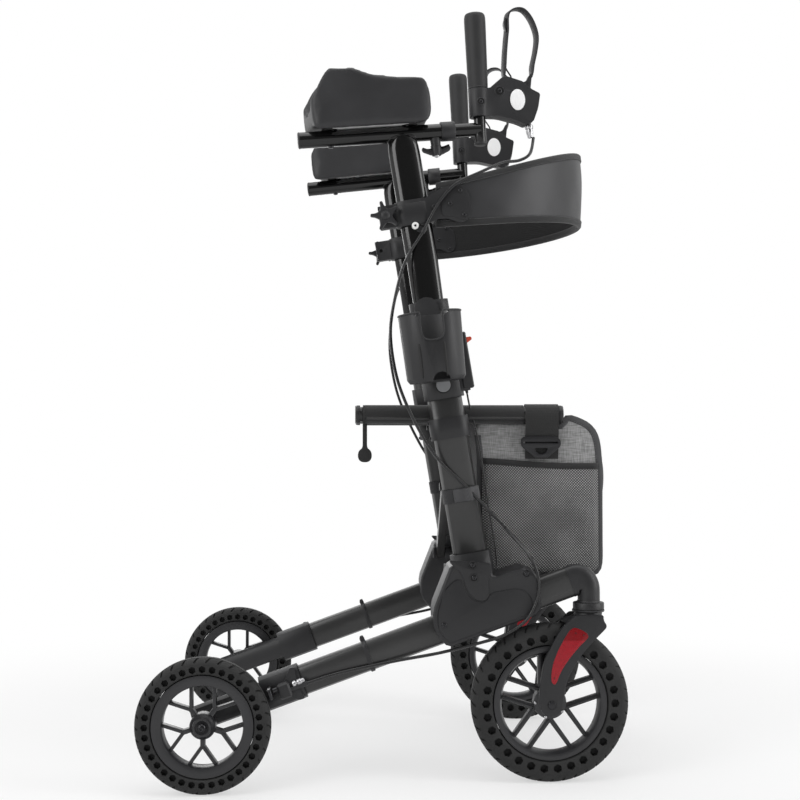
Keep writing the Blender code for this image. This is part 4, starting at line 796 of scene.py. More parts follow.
def in_mouth(at, normal):
    return at.z > 0.5475 and 0.163 < at.x < 0.334 and abs(at.y) < BAG_HALF and normal.z > 0.35


without(bag, in_mouth)
lining = bag.modifiers.new("lining", "SOLIDIFY")
lining.thickness = 0.0018
lining.offset = -1
lining.material_offset = 1
plain(bag)
bag.data.shade_smooth()
BAG_PIECES = [bag]
bound = [k for k, p in enumerate(bag_edge) if p.x > 0.275 or p.y < 0.544]


def taped(name, line, kept, side_y, out, finish, width=BINDING_WIDTH, thick=0.0011):
    """Tape folded over the kept part of a side edge of the bag: a strip along the edge."""
    profile = [
        (-0.0014, -0.004), (-0.0014, 0.0004), (-0.0004, thick), (width * 0.5, thick * 1.25),
        (width - 0.0006, thick), (width, 0.0), (width, -0.0012), (0.001, -0.0012),
        (0.001, -0.004),
    ]
    rows = []
    for k in kept:
        places = [(line[k] + inward(line, k) * u, v) for u, v in profile]
        rows.append([(q.x, side_y + out * (0.0008 + v), q.y) for q, v in places])
    return grid(name, rows, finish, around=True, capped=True)


def shell(obj, wall):
    """The sheet gets its thickness."""
    bpy.context.view_layer.update()
    thick = obj.modifiers.new("wall", "SOLIDIFY")
    thick.thickness, thick.offset, thick.use_even_offset = wall, 0, True
    return plain(obj)


POCKET_TOP = mm([(157, 495.5), (210, 491.5), (260, 488), (310, 486.8), (345.5, 486.8)])
pocket_rim = even_line(POCKET_TOP, 21, closed=False)
for hand, side in SIDES.items():
    rows = []
    for k, rim in enumerate(pocket_rim):
        share = k / (len(pocket_rim) - 1)
        floor_z = 0.315 + 0.016 * (1 - faded(share, 0.0, 0.1)) + 0.01 * faded(share, 0.95, 1.0)
        row = []
        for j in range(25):
            down = j / 24
            x, z = rim.x, rim.y + (floor_z - rim.y) * down
            belly = math.sin(math.pi * share) ** 0.6
            hang = 0.0022 + 0.0055 * belly * math.sin(math.pi * (0.12 + 0.86 * down)) ** 0.8
            hang += 0.0007 * math.sin(x * 90 + z * 60) * belly
            row.append((x, side * (BAG_HALF + 0.001 + bag_slack(x, 0, z) * 0.8 + hang), z))
        rows.append(row)
    pocket = shell(grid(f"bag_pocket_{hand}", rows, netting), 0.0009)
    hem_rows = []
    for k, rim in enumerate(pocket_rim):
        belly = math.sin(math.pi * k / (len(pocket_rim) - 1)) ** 0.6
        out = BAG_HALF + 0.004 + bag_slack(rim.x, 0, rim.y) * 0.8 + 0.0024 * belly
        loop = [(0.0008, -HEM_HEIGHT / 2), (0.0014, 0), (0.0008, HEM_HEIGHT / 2),
                (-0.0012, HEM_HEIGHT / 2), (-0.0016, 0), (-0.0012, -HEM_HEIGHT / 2)]
        hem_rows.append([(rim.x, side * (out + v), rim.y + u) for v, u in loop])
    hem = grid(f"bag_hem_{hand}", hem_rows, hem_tape, around=True, capped=True)
    edge_tape = taped(f"bag_binding_{hand}", bag_edge, bound, side * BAG_HALF, side, tape)
    BAG_PIECES += [pocket, hem, edge_tape]

FRONT_POCKET_HALF = 0.112
pocket_rows = []
for k in range(17):
    z = 0.426 + 0.08 * k / 16
    high = math.sin(math.pi * min(1.0, 0.04 + k / 16 * 0.88)) ** 0.55
    row = []
    for j in range(33):
        y = FRONT_POCKET_HALF * (j / 16 - 1)
        wide = max(0.0, 1 - abs(y / FRONT_POCKET_HALF) ** 6) ** 0.5
        row.append((0.3545 + 0.0125 * high * wide + 0.0006 * math.sin(y * 95), y, z))
    pocket_rows.append(row)
front_pocket = shell(grid("bag_front_pocket", pocket_rows, dark_cloth), 0.0012)
pocket_frame = [(0.356, y, z) for y, z in (
    (-0.112, 0.427), (0, 0.4265), (0.112, 0.427), (0.1125, 0.466), (0.112, 0.505), (0, 0.5055),
    (-0.112, 0.505), (-0.1125, 0.466))]
pocket_piping = strand(
    "bag_front_piping", smooth_line(pocket_frame, 10, True), 0.0019, tape, 8, closed=True
)
BAG_PIECES += [front_pocket, pocket_piping]

stitch_run = Shapes("stitch_run", Pitch=float, Length=float, Width=float)
node, given = stitch_run.node, stitch_run.given
run = node("GeometryNodeMeshToCurve", (), {0: given("Geometry")})
places = node("GeometryNodeCurveToPoints", {"mode": "LENGTH"}, {"Curve": run, "Length": given("Pitch")})
run_turn = Wire(stitch_run, places.socket.node.outputs["Rotation"])
drop = node("GeometryNodeMeshIcoSphere", (), {"Radius": given("Width") * 0.5, "Subdivisions": 1})
stretch = stitch_run.xyz(X=1.0, Y=1.0, Z=given("Length") / given("Width"))
stitch_run.ends_in(stitch_run.copies(places, drop, run_turn, Scale=stretch))
sewing = Finish("sewing_thread", shade("5a5a5c"), 0.6)
sewing.bump(sewing.noise(3000, 1.0), 0.0001, 0.5)


def stitched(name, points, finish=sewing, pitch=0.0042, length=0.003, width=0.0008):
    """A run of thread along a line, sunk to half its width in the cloth."""
    made = thread(name, points)
    stitch_run.made_on(made, finish, Pitch=pitch, Length=length, Width=width)
    made.data.shade_smooth()
    return made


for hand, side in SIDES.items():
    inner = [bag_edge[k] + inward(bag_edge, k) * (BINDING_WIDTH - 0.0018) for k in bound]
    line = [(p.x, side * (BAG_HALF + 0.0021), p.y) for p in inner]
    BAG_PIECES.append(stitched(f"bag_stitches_{hand}", line))


def plate(name, outlines, thick, place, finish, rounding=0.0006):
    """A flat piece cut to the first outline, with the others as holes, and its edges eased."""
    curve = bpy.data.curves.new(name, "CURVE")
    curve.dimensions = "2D"
    curve.fill_mode = "BOTH"
    curve.extrude = thick / 2
    for loop in outlines:
        spline = curve.splines.new("POLY")
        spline.points.add(len(loop) - 1)
        for point, at in zip(spline.points, loop):
            point.co = (at[0], at[1], 0, 1)
        spline.use_cyclic_u = True
    flat = in_scene("flat", curve)
    bpy.context.view_layer.update()
    mesh = bpy.data.meshes.new_from_object(flat.evaluated_get(bpy.context.evaluated_depsgraph_get()))
    bpy.data.objects.remove(flat)
    with Edited(mesh) as edit:
        bmesh.ops.remove_doubles(edit, verts=edit.verts, dist=0.00001)
        bmesh.ops.dissolve_limit(edit, angle_limit=0.01, verts=edit.verts, edges=edit.edges)
        corners = [e for e in edit.edges if e.calc_face_angle(0) > 0.6]
        bmesh.ops.bevel(edit, geom=corners, offset=rounding, segments=2, affect="EDGES", profile=0.6)
        edit.transform(place)
        bmesh.ops.recalc_face_normals(edit, faces=edit.faces)
    made = in_scene(name, mesh)
    mesh.materials.clear()
    mesh.materials.append(finish.material)
    return softly_shaded(made, 40)


def cornered(points, reach, steps=5):
    """An outline whose corners are rounded off, from reach before each to reach after it."""
    line = []
    for k, here in enumerate(points):
        here = Vector(here)
        back, ahead = Vector(points[k - 1]) - here, Vector(points[(k + 1) % len(points)]) - here
        start = here + back.normalized() * min(reach, back.length * 0.45)
        end = here + ahead.normalized() * min(reach, ahead.length * 0.45)
        for step in range(steps + 1):
            t = step / steps
            line.append(start.lerp(here, t).lerp(here.lerp(end, t), t))
    return line


def moved(x, y, z):
    return Matrix.Translation((x, y, z))


FLIP = {"left": Matrix(), "right": Matrix.Scale(-1, 4, Y)}
SIDE_ON = Matrix.Rotation(math.pi / 2, 4, "X")
webbing = woven("strap_webbing", shade("0a0a0a"), shade("050505"), 0.75, 0.0026, 0.2, 0.0005)
buckle_plastic = coated("buckle_plastic", shade("17171a"), 0.42, 2200, 0.0)
STRAP_REAR, STRAP_WIDTH = 0.2262, 0.0538
STRAP_PATH = mm([(138, 558), (135.5, 570), (140, 582), (149, 586.2), (159, 582.2), (164, 570), (163.2, 556),
    (159, 540), (156.2, 522), (154.5, 498.5)])
BUCKLE_OUTLINE = mm([(221.7, 534.3), (274.8, 535.4), (283.2, 529), (283.2, 519.5), (276.9, 513), (268.4, 506.7),
    (262.1, 500.3), (240.9, 500.3), (234.4, 506.7), (226, 513), (219.2, 519.5), (218.5, 529)])
BUCKLE_HOLE = mm([(240.9, 516.2), (262.1, 516.2), (260, 509.8), (254.5, 506.2), (248.5, 506.2), (243, 509.8)])
BUCKLE_SLOT = mm([(222.5, 526.2), (279, 526.2), (279, 523.8), (222.5, 523.8)])
for hand in SIDES:
    strap_rows = [
        [FLIP[hand] @ Vector((STRAP_REAR + STRAP_WIDTH * k / 6, y, z)) for k in range(7)]
        for y, z in smooth_line(STRAP_PATH, 5)
    ]
    strap = shell(grid(f"bag_strap_{hand}", strap_rows, webbing), 0.0018)
    softly_shaded(strap, 50)
    buckle_at = FLIP[hand] @ moved(0, 0.16, 0) @ SIDE_ON
    buckle = plate(
        f"bag_buckle_{hand}",
        [cornered(BUCKLE_OUTLINE, 0.004), cornered(BUCKLE_HOLE, 0.002)[::-1], BUCKLE_SLOT[::-1]],
        0.0055, buckle_at, buckle_plastic, 0.0009,
    )
    fitted(buckle, "bag")
    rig.squash(buckle, "fold", Y, (0, 0, 0), BAG_FOLDED)
    BAG_PIECES.append(strap)

for bag_piece in BAG_PIECES:
    fitted(bag_piece, "bag", "bag_cloth")
    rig.squash(bag_piece, "fold", Y, (0, 0, 0), BAG_FOLDED)
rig.replaces(bag, "bag")


# ---------------------------------------------------------------- seat
# One sheet of black coated nylon, sewn round both seat rails into sleeves.
# It hangs a little between them, with a double seam along each sleeve.
SEAT_RAIL_Y, SEAT_RAIL_Z = 0.148, 0.57
SLEEVE_RADIUS = 0.0146
SEAT_REAR, SEAT_FRONT = -0.0325, 0.224
SEAT_SAG = 0.019
SLEEVE_SHARE = 0.9
BRACE_GAPS = {1: 0.134, -1: 0.108}

seat_cloth = woven("seat_cloth", shade("0f0f10"), shade("080809"), 0.75, 0.0018, 0.3)
hanging = [
    (y, SEAT_RAIL_Z + SLEEVE_RADIUS - SEAT_SAG * (1 - (y / SEAT_RAIL_Y) ** 2))
    for y in (-SEAT_RAIL_Y + 2 * SEAT_RAIL_Y * k / 24 for k in range(25))
]
sleeve = [
    (SEAT_RAIL_Y + SLEEVE_RADIUS * math.cos(angle), SEAT_RAIL_Z + SLEEVE_RADIUS * math.sin(angle))
    for angle in (math.pi / 2 - 2 * math.pi * SLEEVE_SHARE * k / 18 for k in range(1, 19))
]
whole_profile = [(-y, z) for y, z in reversed(sleeve)] + hanging + sleeve
seat_rows = []
SEAT_STEPS = 36
for k in range(SEAT_STEPS + 1):
    x = SEAT_REAR + (SEAT_FRONT - SEAT_REAR) * k / SEAT_STEPS
    row = []
    for y, z in whole_profile:
        inside = max(0.0, 1 - (y / 0.13) ** 2) if abs(y) < 0.13 else 0.0
        end = 1 - faded(min(x - SEAT_REAR, SEAT_FRONT - x), 0.0, 0.05)
        wrinkle = 0.0006 * math.sin(x * 150 + y * 30) * (1 - inside) + 0.0035 * end * inside
        row.append((x, y, z - wrinkle if abs(y) < SEAT_RAIL_Y else z))
    seat_rows.append(row)
seat = grid("seat_sheet", seat_rows, seat_cloth)


def at_brace(at, _):
    return at.z < SEAT_RAIL_Z + 0.008 and any(
        abs(at.x - brace_x) < 0.0125 and at.y * side > 0.13 for side, brace_x in BRACE_GAPS.items()
    )


softly_shaded(shell(without(seat, at_brace), 0.0016), 60)
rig.slot(seat, "seat_cloth")
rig.replaces(seat, "seat_sling")
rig.blend(seat, "brace_a", "brace_b", (0, -SEAT_RAIL_Y, 0.56), (0, SEAT_RAIL_Y, 0.56))
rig.sheet(seat, flat=(0.464, 0.2565), held="stretched", rests_on=["brace_a", "brace_b"])


# ---------------------------------------------------------------- backrest band
# A foam strap in a U between the two brackets: smooth synthetic leather outside,
# open mesh cloth inside, and a bound edge sewn along its top and bottom.
BAND_REAR, BAND_FRONT = 0.08, 0.3445
BAND_HALF = 0.1902
BAND_THICKNESS = 0.011
BAND_LOW, BAND_LIFT = 0.8694, 0.0272
BAND_END_HEIGHT, BAND_MID_HEIGHT = 0.0665, 0.1215
BAND_STEPS = 72

hide = Finish("band_leather", shade("262628"), 0.44, Coat_Roughness=0.5)
pores = hide.cells(620.0)
hide_cloud = hide.noise(9.0, 3.0)
hide.give("Base Color", hide.mixed(hide_cloud.between(0.35, 0.7), shade("212123"), shade("2b2b2d")))
hide.give("Roughness", hide_cloud * 0.16 + pores * 0.12 + 0.32)
hide.bump(pores * 0.7 + hide.noise(1500, 2.0) * 0.3, 0.00022, 0.45)

mesh_cloth = Finish("band_mesh", shade("1a1a1b"), 0.85)
slant, level = mesh_cloth.axis("X") + mesh_cloth.axis("Y"), mesh_cloth.axis("Z")
holes = ((slant + level).wave(0.003) * (slant - level).wave(0.003)).between(0.15, 0.4)
mesh_cloth.give("Base Color", mesh_cloth.mixed(holes, shade("0d0d0d"), shade("1d1d1e")))
mesh_cloth.bump(holes, 0.0005, 0.8)


def band_at(share):
    """The band at a share of its length: the place of its middle line, its low and its high edge."""
    angle = math.pi * (share - 0.5)
    reach = BAND_FRONT - BAND_THICKNESS / 2 - BAND_REAR
    ahead = max(0.0, math.cos(angle))
    place = Vector((BAND_REAR + reach * ahead**0.9, BAND_HALF * math.sin(angle), 0))
    rise = ahead**1.1
    low = BAND_LOW + BAND_LIFT * rise
    high = low + BAND_END_HEIGHT + (BAND_MID_HEIGHT - BAND_END_HEIGHT) * rise
    return place, low, high


band_line = [band_at(k / BAND_STEPS) for k in range(BAND_STEPS + 1)]
band_ways = []
for k in range(BAND_STEPS + 1):
    ahead = band_line[min(k + 1, BAND_STEPS)][0] - band_line[max(k - 1, 0)][0]
    band_ways.append(Vector((ahead.y, -ahead.x, 0)).normalized())


def circle_points(count, start=0.0):
    """The cosine and sine of a full turn in equal steps."""
    turns = (start + 2 * math.pi * k / count for k in range(count))
    return [(math.cos(turn), math.sin(turn)) for turn in turns]


def squared(value, power):
    return math.copysign(abs(value) ** power, value)


band_section = [(squared(c, 0.45), 0.5 + squared(s, 0.9) / 2) for c, s in circle_points(28)]
band_rows = []
for k, (place, low, high) in enumerate(band_line):
    end = faded(min(k, BAND_STEPS - k), -0.5, 3)
    row = []
    for u, v in band_section:
        swell = 0.001 * math.sin(k * 0.9) * math.sin(v * 7) * end
        thick = BAND_THICKNESS / 2 * (0.62 + 0.38 * math.sin(math.pi * v) ** 0.5) * (0.5 + 0.5 * end)
        p = place + band_ways[k] * (u * (thick + swell * 0.5))
        row.append((p.x, p.y, (low + high) / 2 + (v - 0.5) * (high - low) * 0.985))
    band_rows.append(row)
band = grid("backrest_band_foam", band_rows, hide, around=True, capped=True)
band.data.materials.append(mesh_cloth.material)
band_centre = Vector((BAND_REAR, 0, 0))
for face in band.data.polygons:
    inside = (face.center - band_centre).dot(Vector((face.normal.x, face.normal.y, 0))) < -0.02
    face.material_index = int(inside)
BAND_PIECES = [band]

BINDING_SECTION = [
    (-0.0041, 0.0), (-0.0046, 0.006), (-0.0046, 0.0085), (-0.0034, 0.0088), (0.0034, 0.0088),
    (0.0046, 0.0085), (0.0046, 0.006), (0.0041, 0.0), (0.0022, -0.0022), (-0.0022, -0.0022),
]
for edge_name, way in (("top", -1), ("bottom", 1)):
    rows = []
    line = []
    for k, (place, low, high) in enumerate(band_line):
        z = high if way < 0 else low
        middle_at = [(place + band_ways[k] * (u * 1.06), v) for u, v in BINDING_SECTION]
        rows.append([(p.x, p.y, z + way * v) for p, v in middle_at])
        seam = place + band_ways[k] * 0.005
        line.append((seam.x, seam.y, z + way * 0.0072))
    binding = grid(f"band_binding_{edge_name}", rows, hem_tape, around=True, capped=True)
    BAND_PIECES += [binding, stitched(f"band_stitches_{edge_name}", line)]
for band_piece in BAND_PIECES:
    fitted(band_piece, "mast_left", "band_cloth")
    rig.squash(band_piece, "fold", Y, (0, 0.19, 0), 0.38)
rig.replaces(band, "backrest_band")
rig.padded(band, 0.7)


# ---------------------------------------------------------------- forearm pads
# Moulded foam troughs under a smooth synthetic skin, highest at the back where they cup
# the elbow. Each is screwed to a plastic board that stands on two rubber mounts.
ARM_FRAME = {}
for hand, side in SIDES.items():
    forward = (0.99209, -0.0868 * side, 0.09063)
    across = (0.08716, 0.99619 * side, 0)
    upward = (-0.09029, 0.0079 * side, 0.99588)
    ARM_FRAME[hand] = Matrix((forward, across, upward)).transposed().to_4x4()
    ARM_FRAME[hand].translation = (0.02325, 0.185 * side, 1.01682)
PAD_BOTTOM = 0.0168
# Cuts along the arm: place, top, floor of the trough, low edge, and share of the width.
PAD_STATIONS = [
    (-0.1502, 0.0545, 0.04, 0.034, 0.82), (-0.149, 0.0577, 0.039, 0.02, 0.88),
    (-0.147, 0.0608, 0.038, 0.012, 0.93), (-0.144, 0.0652, 0.038, 0.0085, 0.965),
    (-0.14, 0.0716, 0.039, 0.0078, 0.99), (-0.135, 0.0807, 0.04, 0.0076, 1.0),
    (-0.125, 0.0936, 0.042, 0.0075, 1.0), (-0.115, 0.1006, 0.043, 0.0075, 1.0),
    (-0.1098, 0.1025, 0.043, 0.0075, 1.0), (-0.1078, 0.1037, 0.043, 0.0075, 1.0),
    (-0.1055, 0.1026, 0.043, 0.0075, 1.0), (-0.095, 0.1013, 0.043, 0.0075, 1.0),
    (-0.08, 0.1017, 0.0428, 0.0075, 1.0), (-0.072, 0.1023, 0.0426, 0.0075, 1.0),
    (-0.06, 0.0973, 0.0425, 0.0075, 1.0), (-0.048, 0.0924, 0.0424, 0.0075, 1.0),
    (-0.036, 0.089, 0.0422, 0.0075, 1.0), (-0.02, 0.0865, 0.042, 0.0075, 1.0),
    (0.0, 0.0841, 0.042, 0.0075, 1.0), (0.02, 0.082, 0.042, 0.0076, 1.0),
    (0.0325, 0.0811, 0.0422, 0.008, 0.995), (0.04, 0.0794, 0.0428, 0.0095, 0.98),
    (0.045, 0.0714, 0.0434, 0.015, 0.95), (0.0485, 0.058, 0.044, 0.025, 0.9),
    (0.0495, 0.0515, 0.0415, 0.033, 0.84),
]
PAD_HALF = 0.0422

pad_skin = Finish("pad_skin", shade("232325"), 0.5)
skin_grain = pad_skin.cells(900.0)
skin_cloud = pad_skin.noise(12.0, 3.0)
pad_skin.give("Base Color", pad_skin.mixed(skin_cloud.between(0.3, 0.7), shade("1f1f21"), shade("28282a")))
pad_skin.give("Roughness", skin_cloud * 0.14 + skin_grain * 0.1 + 0.38)
pad_skin.bump(skin_grain * 0.6 + pad_skin.noise(2600, 1.0) * 0.4, 0.00016, 0.4)

# The board under each pad is partly painted highlight: its pale grey stands for the floor's bright reflection along the
# pad's underside.
board_grey = Finish("board_grey", shade("d8d8d8"), 0.5)
board_grey.bump(board_grey.noise(700, 2.0), 0.0001, 0.3)
board_grey.give("Roughness", board_grey.noise(9.0, 3.0) * 0.2 + 0.4)


def pad_section(top, floor_z, low, wide):
    """One cut across the pad: an arched underside, upright flanks and a trough on top."""
    half = PAD_HALF * wide
    arch = max(PAD_BOTTOM, low)
    rise = top - low
    trough = min(floor_z, top - 0.004)
    side_line = [
        (half * 0.34, arch), (half * 0.56, arch - 0.06 * (arch - low)),
        (half * 0.74, low + 0.35 * (arch - low)),
        (half * 0.88, low), (half * 0.965, low + 0.0012), (half * 0.998, low + 0.07 * rise + 0.001),
        (half, low + 0.25 * rise), (half, low + 0.5 * rise), (half, top - 0.16 * rise),
        (half * 0.992, top - 0.03 * rise), (half * 0.955, top), (half * 0.86, top - 0.0006),
        (half * 0.76, top - 0.1 * (top - trough)), (half * 0.66, trough + 0.45 * (top - trough)),
        (half * 0.52, trough + 0.16 * (top - trough)), (half * 0.28, trough + 0.03 * (top - trough)),
    ]
    return [(0, arch), *side_line, (0, trough)] + [(-y, z) for y, z in reversed(side_line)]


def puffed(obj, voxel, pressure, cap, frames):
    """The cloth fills a little: blown out from its cut shape, no point further than cap."""
    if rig.quick():
        return obj
    scene = bpy.context.scene
    remesh = obj.modifiers.new("even_cells", "REMESH")
    remesh.mode = "VOXEL"
    remesh.voxel_size = voxel
    plain(obj)
    start = np.array([v.co for v in obj.data.vertices])
    cloth = obj.modifiers.new("filling", "CLOTH")
    cloth.settings.use_pressure = True
    cloth.settings.uniform_pressure_force = pressure
    cloth.settings.quality = 5
    cloth.settings.tension_stiffness = 30
    cloth.settings.compression_stiffness = 30
    cloth.settings.effector_weights.gravity = 0
    cloth.point_cache.frame_start = 1
    cloth.point_cache.frame_end = frames
    for step in range(1, frames + 1):
        scene.frame_set(step)
    plain(obj)
    scene.frame_set(1)
    end = np.array([v.co for v in obj.data.vertices])
    blown = end - start
    length = np.linalg.norm(blown, axis=1, keepdims=True)
    limited = blown * np.minimum(1.0, cap / np.maximum(length, 1e-9))
    obj.data.vertices.foreach_set("co", (start + limited).ravel())
    finer = obj.modifiers.new("finer", "SUBSURF")
    finer.levels = finer.render_levels = 1
    plain(obj)
    obj.data.shade_smooth()
    return obj


for hand, side in SIDES.items():
    arm = ARM_FRAME[hand]
    pad_rows = [
        [
            arm @ Vector((x + (1 - faded(x, -0.135, -0.1)) * (0.0045 + 0.0055 * y / PAD_HALF), y, z))
            for y, z in pad_section(top, floor_z, low, wide)
        ]
        for x, top, floor_z, low, wide in PAD_STATIONS
    ]
    pad = grid(f"pad_{hand}", pad_rows, pad_skin, around=True, capped=True)
    rounder = pad.modifiers.new("rounder", "SUBSURF")
    rounder.levels = rounder.render_levels = 2
    plain(pad)
    puffed(pad, voxel=0.0032, pressure=3.0, cap=0.0008, frames=20)
    if not pad.data.materials:
        pad.data.materials.append(pad_skin.material)
    fitted(pad, f"mast_{hand}", "pad_foam", f"forearm_pad_{hand}")
    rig.padded(pad, 0.8)
    # The pale board's edge shows as a bright strip under the pad: painted highlight.
    board_edge = cornered(mm([(-108, -36), (14, -36), (14, 36), (-108, 36)]), 0.004)
    fitted(plate(f"pad_board_{hand}", [board_edge], 0.004, arm @ moved(0, 0, 0.0154), board_grey, 0.0004),
        f"mast_{hand}")


# ---------------------------------------------------------------- masts and arm tubes
# Gloss black aluminium: the mast slides in the post, and the arm tube is welded across
# its top. Rubber mounts with a screw carry the pad, and a clip holds the cable below.
gloss = coated("mast_gloss", shade("0a0a0a"), 0.1, 300, 0.1)
plastic = coated("moulded_black", shade("18181a"), 0.48, 2200, 0.0)
plastic.bump(plastic.noise(5200, 1.0), 0.0001, 0.35)
rubber = coated("rubber", shade("161616"), 0.72, 1800, 0.0)
zinc = coated("zinc_steel", (0.5, 0.5, 0.51), 0.3, 600, 1.0)
dark_steel = coated("dark_steel", (0.04, 0.04, 0.042), 0.28, 600, 1.0)
nylon_white = coated("white_nylon", shade("e6e6e4"), 0.45, 900, 0.0)


def lathed(name, profile, place, finish, steps=32):
    """A shape turned about its own Z from (radius, height) points, set in its place."""
    rows = [[place @ Vector((r * c, r * s, h)) for c, s in circle_points(steps)] for r, h in profile]
    return softly_shaded(grid(name, rows, finish, around=True), 38)


def along(way, at, up=Z):
    """A place whose own Z runs along a way."""
    w = Vector(way).normalized()
    side = Vector(up).cross(w)
    side = side.normalized() if side.length > 0.001 else X.copy()
    return Matrix.Translation(at) @ Matrix((side, w.cross(side), w)).transposed().to_4x4()


def skinned(name, stations, finish, square, count):
    """A skin over rounded cuts: each has its place, its half sizes along X and Y, and goes up Z."""
    rows = []
    for place, half_x, half_y, *own in stations:
        power = own[0] if own else square
        rows.append([
            place @ Vector((half_x * squared(c, power), half_y * squared(s, power), 0))
            for c, s in circle_points(count)
        ])
    return softly_shaded(grid(name, rows, finish, around=True, capped=True), 42)


POST_AXES = Matrix((
    (0.98629, 0, -0.16505, 0.15001), (0, 1, 0, 0.185), (0.16505, 0, 0.98629, 0.25935), (0, 0, 0, 1),
))


def screw_shape(radius, height):
    """The head of one socket screw, as profile rows whose middle rows are hexagons."""
    rows = []
    for r, h, hexed in (
        (0.0, -0.2, 0), (1.0, -0.2, 0), (1.0, 0.35, 0), (0.93, 0.72, 0), (0.7, 0.98, 0),
        (0.56, 1.0, 1), (0.5, 0.95, 1), (0.47, 0.3, 1), (0.0, 0.22, 0),
    ):
        row = []
        for k in range(24):
            a = 2 * math.pi * k / 24
            near = 0.866 / math.cos((a % (math.pi / 3)) - math.pi / 6) if hexed else 1.0
            row.append((r * near * radius * math.cos(a), r * near * radius * math.sin(a), h * height))
        rows.append(row)
    return rows


def shape_of(tree, name):
    """The mesh of an object that a tree is given."""
    settings = {"transform_space": "ORIGINAL"}
    return tree.node("GeometryNodeObjectInfo", settings, {"Object": tree.given(name)}, out="Geometry")


fastened = Shapes("fastened", Head=bpy.types.Object, TurnX=float, TurnY=float, TurnZ=float)
head_turn = fastened.xyz(**{k: fastened.given(f"Turn{k}") for k in "XYZ"})
fastened.ends_in(fastened.copies(fastened.given("Geometry"), shape_of(fastened, "Head"), head_turn))


def screws(name, points, way, radius, finish):
    """Socket screws with their heads facing one way, one at each point."""
    head = grid("head", screw_shape(radius, radius * 0.62), finish, around=True)
    softly_shaded(head, 34)
    turn = Vector(way).to_track_quat("Z", "Y").to_euler()
    made = plain_mesh(name, points, [])
    fastened.made_on(made, finish, Head=head, TurnX=turn.x, TurnY=turn.y, TurnZ=turn.z)
    bpy.data.objects.remove(head)
    return made


def pressed_ring(name, place, radius, wire, finish, steps=28):
    """A ring of wire in a plane, or of moulded plastic round a screw."""
    points = [place @ Vector((radius * c, radius * s, 0)) for c, s in circle_points(steps)]
    return strand(name, points, wire, finish, 10, closed=True)


ALONG_X = Matrix.Rotation(math.pi / 2, 4, "Y")
ARM_RADIUS = 0.013
PAD_MOUNTS = (-0.112, 0.016)
